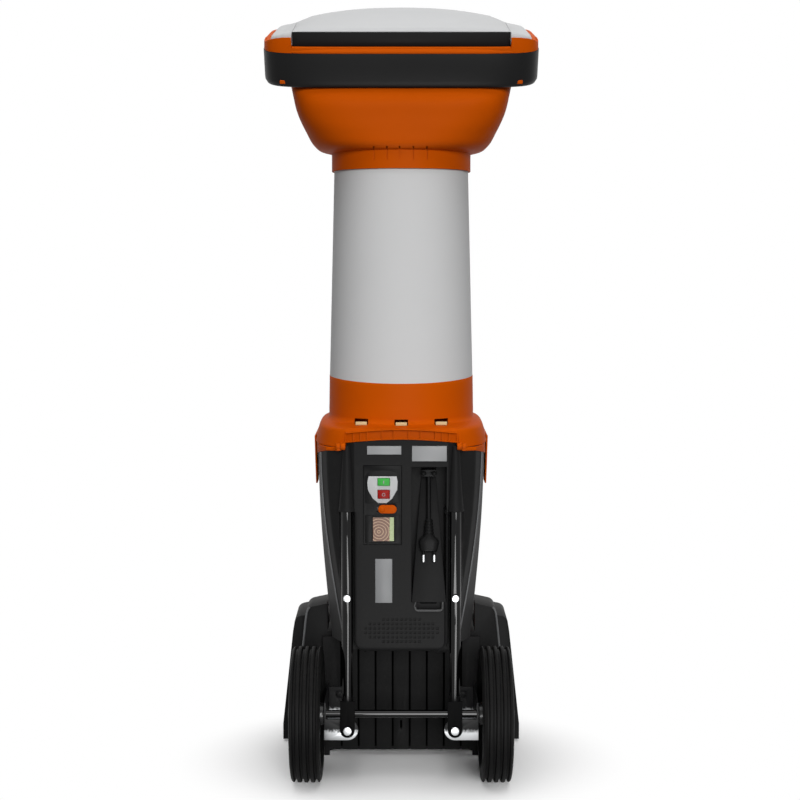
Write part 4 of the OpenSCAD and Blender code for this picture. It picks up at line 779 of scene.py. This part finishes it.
def make_collar():
    outer = [(154.6, 192.2, 3.4, 614), (151.2, 191.3, 3.4, 626), (149.6, 190.6, 3.35, 630.5),
             (147, 188.2, 3.2, 633.8), (143.5, 181, 3, 635.8), (139.5, 171, 2.75, 637.6),
             (136, 164, 2.5, 639.6), (134.4, 161.4, 2.4, 642.5), (133.9, 159.8, 2.3, 655),
             (133.4, 157.2, 2.25, 685), (133, 155.5, TUBE_N, 712.4)]
    inner = [(127.8, 150.3, TUBE_N, TUBE_FOOT), (127.1, 149.6, TUBE_N, 735), (123.6, 146.1, TUBE_N, 735),
             (129.5, 153, 2.3, 656), (131, 156, 2.6, 634), (141, 174, 3.2, 628), (146.5, 182.5, 3.4, 622),
             (150.5, 185.5, 3.4, 600.6)]
    rings = [oval(156.8, 192.6, SKIRT_N, 600.6), oval(SKIRT_A, SKIRT_B, SKIRT_N, 601.2)]
    rings += flowing([oval(*row) for row in outer], 4)
    rings.append(oval(132.6, 155.1, TUBE_N, TUBE_FOOT))
    rings += [oval(*row) for row in inner]
    for i in (-len(inner) - 2, -len(inner) - 1, -len(inner)):
        rings[i] = [(x, y, z + seam_dip(x)) for x, y, z in rings[i]]
    collar = loft("collar", rings, hoop=True)
    sunk = []
    for x in STATIONS:
        section = [(-9, 590), (5, 590), (6.4, ledge_z(x)), (-9, ledge_z(x))]
        sunk.append([(x, skirt_y(x) + depth, z) for depth, z in section])
    carve(collar, loft("sunk", sunk, caps=True))
    for x in (-100.6, 100.6):
        carve(collar, block("crease", (x - 0.7, -200, 590), (x + 0.7, skirt_y(x) + 4.5, 637)))
    arch = [(-98, 596)] + [(x, crest_z(x) + 0.6) for x in STATIONS] + [(98, 596)]
    carve(collar, prism("arch", arch, -260, 40 - SKIRT_B, along_y))
    for x in (-71, 0, 71):
        carve(collar, block("slot", (x - 12, -193, 638), (x + 12, -130, 648)))
    dress(collar, "hopper_collar")


def make_collar_ribs():
    """Ribs and ledge at the collar's rear, its hinge barrels, knob boss and side wings"""
    ribs = []
    for x in (13, 34, 60, 71.5, 84):
        for side in (-1, 1):
            ribs.append(block("rib", (side * x - 1.2, skirt_y(x) + 1, crest_z(x) + 2),
                              (side * x + 1.2, skirt_y(x) + 6, ledge_z(x) + 1)))
    lip = [(0, -0.6), (-2.2, -0.3), (-2.9, 0.4), (-2.8, 1.3), (-2, 1.9), (0.6, 2.4), (10, 3), (10, -1.2)]
    ledge = [[(x, skirt_y(x) + d, ledge_z(x) + w) for d, w in lip] for x in STATIONS]
    ribs.append(loft("ledge", ledge, caps=True))
    ribs.append(bar("foot", [(x, skirt_y(x) + 2.4, crest_z(x) + 2) for x in STATIONS], 1.3, 12))
    for side in (-1, 1):
        x0, x1 = sorted((side * 98.2, side * 106))
        ribs.append(rod("barrel", HINGE_R, (x0, HINGE_Y, HINGE_Z), (x1, HINGE_Y, HINGE_Z)))
        ribs.append(block("strap", (x0, HINGE_Y, HINGE_Z - 2), (x1, skirt_y(102) + 2, HINGE_Z + 6)))
    ribs.append(rod("boss", KNOB_R, (0, KNOB_Y, 601), (0, KNOB_Y, 650)))
    outline = [(-70, 609), (-48, 560), (-24, 515), (24, 515), (48, 560), (70, 609)]
    for low, high in ((-158.4, -155.6), (155.6, 158.4)):
        ribs.append(prism("wing", outline, low, high, along_x))
    ribs = joined("collar_ribs_and_wings", *ribs)
    bevel(ribs, 0.6)
    finish(ribs, BODY_OF["hopper_collar"], "orange_plastic")


make_tube()
make_bowl()
make_rim_bead()
make_band()
make_hood()
make_lid()
make_lip()
make_collar()
make_collar_ribs()


# Body shells

def body_curve(z):
    return math.sin(math.pi / 2 * min(1, max(0, (z - DECK) / (BODY_TOP - DECK))))


def side_x(z):
    return 131 + 24 * body_curve(z)


def ridge_x(z):
    return 101 + 43 * body_curve(z)


def cheek_x(z):
    return max(ridge_x(z) - 12, PANEL_HALF + 6)


def cheek_y(x, z):
    return -REAR + CHEEK_IN * (x - PANEL_HALF) / (cheek_x(z) - PANEL_HALF)


def rear_outline(z, channel):
    """The rear shell's outer path at one height, from the left split line to the right one"""
    ridge, cheek, side = ridge_x(z), cheek_x(z), side_x(z) - REAR_INSET
    lip = min(TUBE_X + 14.5, cheek - 1)

    def flank(x):
        return -CHANNEL if channel else cheek_y(x, z)

    corner, roll = 18, 9
    tuck = corner - math.sqrt(corner ** 2 - min(max(0, DECK + 19 - z), corner - 0.1) ** 2)
    sink = roll - math.sqrt(roll ** 2 - min(max(0, DECK + roll - z), roll) ** 2)
    half_w = PANEL_HALF - tuck
    start = half_w + 1.5
    steps = [min(x, lip - 2) for x in (CREST_HALF - 1, CREST_HALF)]
    corners = [(0, sink - REAR), (half_w, sink - REAR), (start, flank(start)),
               *((x, flank(x)) for x in steps), (lip - 1.5, flank(lip - 1.5)), (lip, cheek_y(lip, z)),
               (cheek, CHEEK_IN - REAR), (ridge, RIDGE_IN - REAR), (side - 1, SIDE_IN - REAR), (side, SPLIT)]
    edge = 5 if channel else 14
    half = filleted(corners, (edge, 1, 0.1, 0.1, 1, 1.2, 14, 5, 30))[1:]
    columns = [VENT_PITCH * i + end * VENT_HALF for i in range(-8, 9) for end in (-1, 1)]
    panel = [(x, sink - REAR) for x in sorted({*CONTROL[:2], *NICHE[:2], *POCKET[:2], *columns})]
    left = [(-x, y) for x, y in reversed(half)]
    return [(x, y, z) for x, y in left + panel + half]


def push_in(piece, inside, depth, level=-REAR):
    """Sinks the faces of the rear panel that a test picks, or with no depth takes them out"""
    edit(piece)
    bpy.ops.mesh.select_all(action="DESELECT")
    bpy.ops.mesh.select_mode(type="FACE")
    leave_edit()
    for face in piece.data.polygons:
        centre = face.center / MM
        face.select = abs(centre.y - level) < 0.5 and inside(centre.x, centre.z)
    bpy.ops.object.mode_set(mode="EDIT")
    if depth:
        bpy.ops.mesh.extrude_region_move(TRANSFORM_OT_translate={"value": (0, depth * MM, 0)})
    else:
        bpy.ops.mesh.delete(type="FACE")
    bpy.ops.mesh.select_all(action="SELECT")
    leave_edit()


def within(box):
    return lambda x, z: box[0] < x < box[1] and box[2] < z < box[3]


def is_vent(x, z):
    """Picks the holes of the vent field, which has an oval outline"""
    column, row = x / VENT_PITCH, (z - VENT_Z) / VENT_PITCH
    if max(abs(column - round(column)), abs(row - round(row))) >= 0.27 or not 0 <= round(row) < VENT_ROWS:
        return False
    return (round(column) / 8.4) ** 2 + ((round(row) - (VENT_ROWS - 1) / 2) / 3.1) ** 2 < 1


def make_rear_shell():
    foot = [DECK, 235.6, 237, 239, 241.5, 244.5, 248]
    vents = [VENT_Z + VENT_PITCH * row + end * VENT_HALF for row in range(VENT_ROWS) for end in (-1, 1)]
    heights = {*foot, *vents, *range(290, 600, 12), SLEEVE_Z, 597, BODY_TOP,
               *CONTROL[2:], *NICHE[2:], *POCKET[2:]}
    rings = []
    for z in sorted(heights):
        rings.append(rear_outline(z, z <= SLEEVE_Z))
        if z == SLEEVE_Z:
            rings.append(rear_outline(z + 1, False))
    rings.append([(x, y, crest_z(x) if abs(x) < CREST_HALF - 0.2 else z) for x, y, z in rings[-1]])
    shell = loft("rear_shell", rings, closed=False)
    push_in(shell, within(CONTROL), CONTROL_DEPTH)
    push_in(shell, within(CONTROL_OPENING), 0, CONTROL_DEPTH - REAR)
    push_in(shell, within(NICHE), NICHE_DEPTH)
    push_in(shell, within(POCKET), POCKET_DEPTH)
    push_in(shell, is_vent, VENT_DEPTH)
    bevel(shell, 0.8, 2, 50)
    modify(shell, "SOLIDIFY", thickness=REAR_WALL * MM, offset=-1)
    dress(shell, "rear_housing", smooth=40)


def make_tube_sleeves():
    profile = [(10.6, 524), (10.6, 488.5), (11.2, 487.5), (14, 487.5), (14.8, 488.3), (14.8, 491),
               (14.2, 492), (13.9, 495), (11.5, 525), (9.2, 560), (7.4, 590), (6.4, 604), (2, 604), (2, 524)]
    upright = Matrix.Identity(3)
    sleeves = []
    for side in (-1, 1):
        rings = [circle_ring((side * TUBE_X, -TUBE_BACK, z), upright, r, 48) for r, z in profile]
        sleeves.append(loft("sleeve", rings, hoop=True))
    finish(joined("tube_sleeves", *sleeves), BODY_OF["rear_housing"], "black_shell_plastic")


def make_painted_highlight_beads():
    beads = []
    for side in (-1, 1):
        path = [(side * (ridge_x(z) + 0.1), RIDGE_IN - 0.4 - REAR, z) for z in range(244, 590, 7)]
        beads.append(bar("bead", path, 1.9, 16))
    # The beads are light grey as a painted highlight along the ridges
    finish(joined("painted_highlight_beads", *beads), BODY_OF["rear_housing"], "inner_grey_plastic")


def rail_line(z, out):
    """The corner rail's line round the shell: its outer face, or its inner one when out is -1"""
    side = side_x(z) - REAR_INSET
    return [(106, cheek_y(106, z) - 3 * out), (cheek_x(z) + 1.2 * out, CHEEK_IN - REAR - 2.6 * out),
            (ridge_x(z) + 2.2 * out, RIDGE_IN - REAR - 1.2 * out), (side - 1 + 2.1 * out, SIDE_IN - REAR),
            (side + 1.9 * out, SPLIT), (side + 1.7 * out, SPLIT + 3)]


def make_rails():
    """Orange rails round the rear shell's upper corners, with the hopper hinge's fixed knuckles"""
    pieces = []
    for side in (-1, 1):
        rings = []
        for i, drop in enumerate((6, 7, 13, 22, 24, 24)):
            low = BODY_TOP - drop
            ring = [(*rail_line(z, out)[i], z) for z, out in (
                (low, 1), (BODY_TOP, 1), (BODY_TOP, -1), (low, -1))]
            rings.append([(side * x, y, z) for x, y, z in ring])
        pieces.append(loft("rail", rings, caps=True))
        x0, x1 = sorted((side * 106.5, side * 113.5))
        pieces.append(block("knuckle_foot", (x0, HINGE_Y - 5, BODY_TOP - 3),
                            (x1, cheek_y(110, BODY_TOP) - 2, HINGE_Z)))
        pieces.append(rod("barrel", HINGE_R, (x0, HINGE_Y, HINGE_Z), (x1, HINGE_Y, HINGE_Z)))
    rails = joined("corner_rails", *pieces)
    bevel(rails, 0.9, 2, 25)
    finish(rails, BODY_OF["front_shell"], "orange_plastic")


def make_front_shell():
    rings = []
    for z in (DECK, 237, 265, 300, 340, 380, 420, 460, 500, 540, 580, 597, BODY_TOP):
        x = side_x(z)
        corners = [(x, SPLIT + 0.3), (x - 1.5, 60), (x - 18, 115), (x - 52, 150), (0.35 * x, 166.5), (0, 167)]
        half = filleted(corners, (80, 70, 60, 120), 6)[:-1]
        rings.append([(x, y, z) for x, y in half] + [(-x, y, z) for x, y in reversed(half)])
    shell = loft("front_cover", rings, closed=False)
    modify(shell, "SOLIDIFY", thickness=FRONT_WALL * MM, offset=-1)
    hull = bpy.data.objects.new("chute_hull", frame["nodes"]["discharge_chute"].data.copy())
    bpy.context.scene.collection.objects.link(hull)
    edit(hull)
    bpy.ops.mesh.convex_hull()
    leave_edit()
    carve(shell, hull)
    dress(shell, "front_shell")


def make_knob_boss():
    low = BODY_TOP - 42
    boss = joined("knob_boss", rod("boss", KNOB_R, (0, KNOB_Y, low), (0, KNOB_Y, BODY_TOP)),
                  block("web", (-KNOB_R, 160, low), (KNOB_R, KNOB_Y, BODY_TOP)))
    bevel(boss, 1.2)
    finish(boss, BODY_OF["front_shell"], "orange_plastic")


make_rear_shell()
make_tube_sleeves()
make_painted_highlight_beads()
make_front_shell()
make_knob_boss()
make_rails()


# Controls and niche

def clear_hole(piece, node, room, face):
    """Cuts a hole through a pad round a node, with some room"""
    low, high = box_of(node)
    hole = block("hole", (low.x - room, face - 3, low.z - room), (high.x + room, face + 3, high.z + room))
    carve(piece, hole)


def make_panel_pads():
    """Raised fields of the control panel and the brow over its window; the brow's black on the window's top
    edge is a painted shadow line
    """
    low, high = box_of("control_panel")
    face = low.y
    left, right = low.x + 2.5, high.x - 2.5
    arch = [(right - 4, 556), (right, 550), (right, 502), (left, 502), (left, 550), (left + 4, 556)]
    for t in (0.15, 0.3, 0.5, 0.7, 0.85):
        arch.append((left + 4 + (right - left - 8) * t, 556 + 5 * math.sin(math.pi * t)))
    upper = prism("upper_pad", arch, face - 0.3, face + 1, along_y)
    lower = block("lower_pad", (left, face - 0.7, 430.5), (right, face + 1, 481))
    clear_hole(lower, "material_window", 0.4, face)
    low, high = box_of("material_window")
    # The brow's black reaches over the window's top edge as a painted shadow line
    brow = block("brow", (low.x - 1.2, face - 1.8, high.z - 0.4), (high.x + 1.2, face + 1, high.z + 1.4))
    for node in ("start_button", "stop_button"):
        clear_hole(upper, node, 0.6, face)
    pads = joined("panel_pads", upper, lower, brow)
    bevel(pads, 0.4, 2, 40)
    finish(pads, BODY_OF["control_panel"], "panel_black_plastic")


def make_button_marks():
    """The usual bar and ring on the buttons"""
    low, high = box_of("start_button")
    middle = (low + high) / 2
    mark = block("start_mark", (middle.x - 0.8, low.y - 0.35, middle.z - 2.8),
                 (middle.x + 0.8, low.y + 0.6, middle.z + 2.8))
    bevel(mark, 0.25)
    finish(mark, BODY_OF["start_button"], "light_grey_plastic")
    low, high = box_of("stop_button")
    middle = (low + high) / 2
    facing = Matrix.Rotation(math.radians(90), 3, "X")
    rings = [circle_ring((middle.x, low.y + lift, middle.z), facing, r, 48) for r, lift in (
        (3, 0.5), (2.9, -0.3), (2.1, -0.3), (2, 0.5))]
    finish(loft("stop_mark", rings, hoop=True), BODY_OF["stop_button"], "light_grey_plastic")


def make_gland_heads():
    heads = []
    for x in (GLAND_X - 9.5, GLAND_X + 9.5):
        heads.append(ball("head", (x, -166, 553), (5, 6, 4.2)))
        heads.append(rod("shank", 3, (x, -166, 553), (x, -140, 553)))
    finish(joined("gland_heads", *heads), BODY_OF["cord_gland"], "black_shell_plastic")


def make_lever():
    low, high = box_of("direction_lever")
    middle = (low + high) / 2
    r = (high.z - low.z) / 2
    outline = []
    for centre, start in ((high.x - r, -90), (low.x + r, 90)):
        for i in range(13):
            turn = math.radians(start + 15 * i)
            outline.append((centre + r * math.cos(turn), middle.z + r * math.sin(turn)))
    lever = prism("lever", outline, low.y, low.y + 5, along_y)
    bevel(lever, 1.6, 4, 50)
    stem = block("stem", (middle.x - 6, low.y + 4.5, middle.z - 4), (middle.x + 6, high.y, middle.z + 4))
    bump = ball("thumb_bump", (low.x + r, low.y + 0.6, middle.z), (5.2, 2.2, 5.2))
    dress(joined("lever", lever, stem, bump), "direction_lever", smooth=40)


def make_cable_loop():
    corners = [(24.5, 326), (24.5, 310), (73.5, 310), (73.5, 326)]
    path = [(x, -REAR - 0.6, z) for x, z in filleted(corners, (7.5, 7.5), 8)]
    # The loop is lighter than the panel: painted highlight on the bar
    coat(dress(bar("loop", path, 2.35, 20), "cable_loop"), "painted_highlight_black")


make_panel_pads()
make_button_marks()
make_gland_heads()
make_lever()
make_cable_loop()


# Wheels

def make_wheels():
    bead = [(90, 21), (92, 24.5), (96, TYRE_HALF)]
    shoulder = [(110, TYRE_HALF), (115, TYRE_HALF - 0.8), (118, TYRE_HALF - 2.4)]
    profile = [(r, -x) for r, x in bead + shoulder]
    for i in range(5):
        low, high = 12 * i - TYRE_HALF, 12 * i - TYRE_HALF + 6
        edge = TYRE_R - 0.6 if i in (0, 4) else TYRE_R
        if i:
            profile += [(114, low - 1.3), (117, low - 0.6), (edge - 0.6, low)]
        profile += [(edge, low + (1.2 if i else 4.2)), (edge, high - (1.2 if i < 4 else 4.2))]
        if i < 4:
            profile += [(edge - 0.6, high), (117, high + 0.6), (114, high + 1.3)]
    profile += reversed(bead + shoulder)
    for name, side in (("left", -1), ("right", 1)):
        dress(turned(name + "_tyre_ribbed", profile, side * WHEEL_X, side), name + "_tyre", smooth=30)
        skin(name + "_hub", 1, 2)


make_wheels()


# Base

def make_fenders():
    """Fenders with lower, falling shoulders, and a light grey bar on each as a painted highlight on its edge
    """
    shoulder = 215
    edge = [(172, 278), (175.5, 274), (177.5, 268), (179.5, 255), (184, 212), (188, 175)]
    for node, side in (("left_fender", -1), ("right_fender", 1)):
        piece = skin(node, 3.5)
        top = max(vertex.co.z for vertex in piece.data.vertices) / MM
        for vertex in piece.data.vertices:
            x, z = abs(vertex.co.x) / MM, vertex.co.z / MM
            fall = 8 + 6 * min(1, max(0, (x - 140) / 39))
            vertex.co.z -= fall * max(0, z - shoulder) / (top - shoulder) * MM
        path = [(side * x, -15.2, z) for x, z in edge]
        # A light grey bar: painted highlight along the fender's edge
        finish(bar(node + "_edge", path, 2, 16), BODY_OF[node], "inner_grey_plastic")


def make_groove_shade_strips():
    """Near-black strips of painted shade in the grooves between the planks and behind the slot"""
    strips = []
    for i in range(8):
        x = PLANK_PITCH * (i - 3.5)
        strips.append(block("strip", (x - 1.7, -38.8, 18), (x + 1.7, -37.5, 220)))
    strips.append(block("strip", (-6, -33.5, 48), (6, -32, 72)))
    gaps = joined("groove_shade_strips", *strips)
    bevel(gaps, 0.2, 1)
    coat(finish(gaps, BODY_OF["base_chassis"], "black_shell_plastic"), "painted_gap_shade")


make_fenders()
make_groove_shade_strips()


# Pieces that keep their solid's shape, with rounded edges

ROUNDED = {
    "base_chassis": 1, "foot_pads": 1.5, "discharge_chute": 1.5, "cutter_deck": 0.8, "cutter_chamber": 0.8,
    "control_panel": 0.8, "switch_plate": 0.8, "label_plates": 0.3, "cord_gland": 1, "cord_ramp": 1.5,
    "left_wheel_tube": 0.8, "right_wheel_tube": 0.8, "tube_screws": 1, "left_axle_bracket": 0.6,
    "right_axle_bracket": 0.6, "bracket_bolts": 0.8, "axle_caps": 1.5, "collar_tabs": 0.8,
    "splash_guard": 0.4, "lock_knob": 1.5, "start_button": 1.2, "stop_button": 1.2,
}
# The wheel tubes go dull and rough below their feet; the brackets and bolts take steel with painted shade
DULL_AND_PAINTED_SHADE = {
    "left_wheel_tube": "footed_tube", "right_wheel_tube": "footed_tube", "left_axle_bracket": "painted_shade_steel",
    "right_axle_bracket": "painted_shade_steel", "bracket_bolts": "painted_shade_bolts",
}
for node, width in ROUNDED.items():
    piece = skin(node, width)
    if node in DULL_AND_PAINTED_SHADE:
        coat(piece, DULL_AND_PAINTED_SHADE[node])

# The hinge pins take the steel with painted shade, near-black at their height
for node, cad in frame["nodes"].items():
    coat(cad, "painted_shade_steel" if node == "hopper_hinge_pins" else SLOT_OF[node])


# Floor and light

def seen_rays(tree):
    """1 for rays from the camera, off shiny faces and through clear stuff, which meet a white background"""
    seen = tree.node("ShaderNodeLightPath", {}, {}, "Is Camera Ray")
    outputs = seen.socket.node.outputs
    for kind in ("Is Glossy Ray", "Is Transmission Ray"):
        seen = seen.math("MAXIMUM", seen, Wire(tree.tree, outputs[kind]))
    return seen


def make_stage():
    bpy.ops.object.select_all(action="DESELECT")
    bpy.ops.mesh.primitive_circle_add(vertices=128, radius=1.4, fill_type="NGON")
    floor = named("studio_floor")
    material, tree = new_material("studio_floor")
    place = tree.node("ShaderNodeTexCoord", {}, {}, "Object")
    spread = tree.node("ShaderNodeMapping", {}, {
        "Vector": place, "Location": (0, 0.14, 0), "Scale": (2.3, 2.8, 1)})
    reach = tree.node("ShaderNodeVectorMath", {"operation": "LENGTH"}, {0: spread}, "Value")
    away = tree.node("ShaderNodeMapRange", {"interpolation_type": "SMOOTHSTEP"}, {
        "Value": reach, "From Min": 0.42, "From Max": 1.0})
    seen = seen_rays(tree)
    grey = mix(tree, seen, (0.25, 0.25, 0.25, 1), (0.93, 0.93, 0.93, 1))
    matt = tree.node("ShaderNodeBsdfDiffuse", {}, {"Color": grey})
    white = tree.node("ShaderNodeEmission", {}, {})
    both = tree.node("ShaderNodeMixShader", {}, {0: away * seen, 1: matt, 2: white})
    tree.node("ShaderNodeOutputMaterial", {}, {"Surface": both})
    floor.data.materials.append(material)

    world = bpy.data.worlds.new("studio")
    bpy.context.scene.world = world
    world.use_nodes = True
    world.node_tree.nodes.clear()
    tree = Wire(world.node_tree)
    sky = tree.node("ShaderNodeBackground", {}, {
        "Color": (1, 1, 1, 1), "Strength": seen_rays(tree) * 0.9 + 0.1})
    tree.node("ShaderNodeOutputWorld", {}, {"Surface": sky})

    for name, towards, strength, angle in (
            ("key", (-0.135, 0.961, -0.242), 2.2, 25), ("overhead", (0, 0.1, -1), 2.0, 70)):
        bpy.ops.object.light_add(type="SUN", location=-2 * Vector(towards))
        lamp = bpy.context.object
        lamp.name = lamp.data.name = name
        lamp.rotation_euler = Vector(towards).to_track_quat("-Z", "Y").to_euler()
        lamp.data.energy = strength
        lamp.data.angle = math.radians(angle)
    bpy.ops.object.light_add(type="AREA", location=(0.06, -1.3, 0.13))
    strip = bpy.context.object
    strip.name = strip.data.name = "low_strip"
    strip.rotation_euler = (math.radians(170), 0, 0)
    strip.data.shape = "RECTANGLE"
    strip.data.size = 0.28
    strip.data.size_y = 1.45
    strip.data.energy = 18
    strip.visible_camera = False
    strip.visible_diffuse = False


make_stage()
bpy.context.scene.view_settings.view_transform = "Standard"
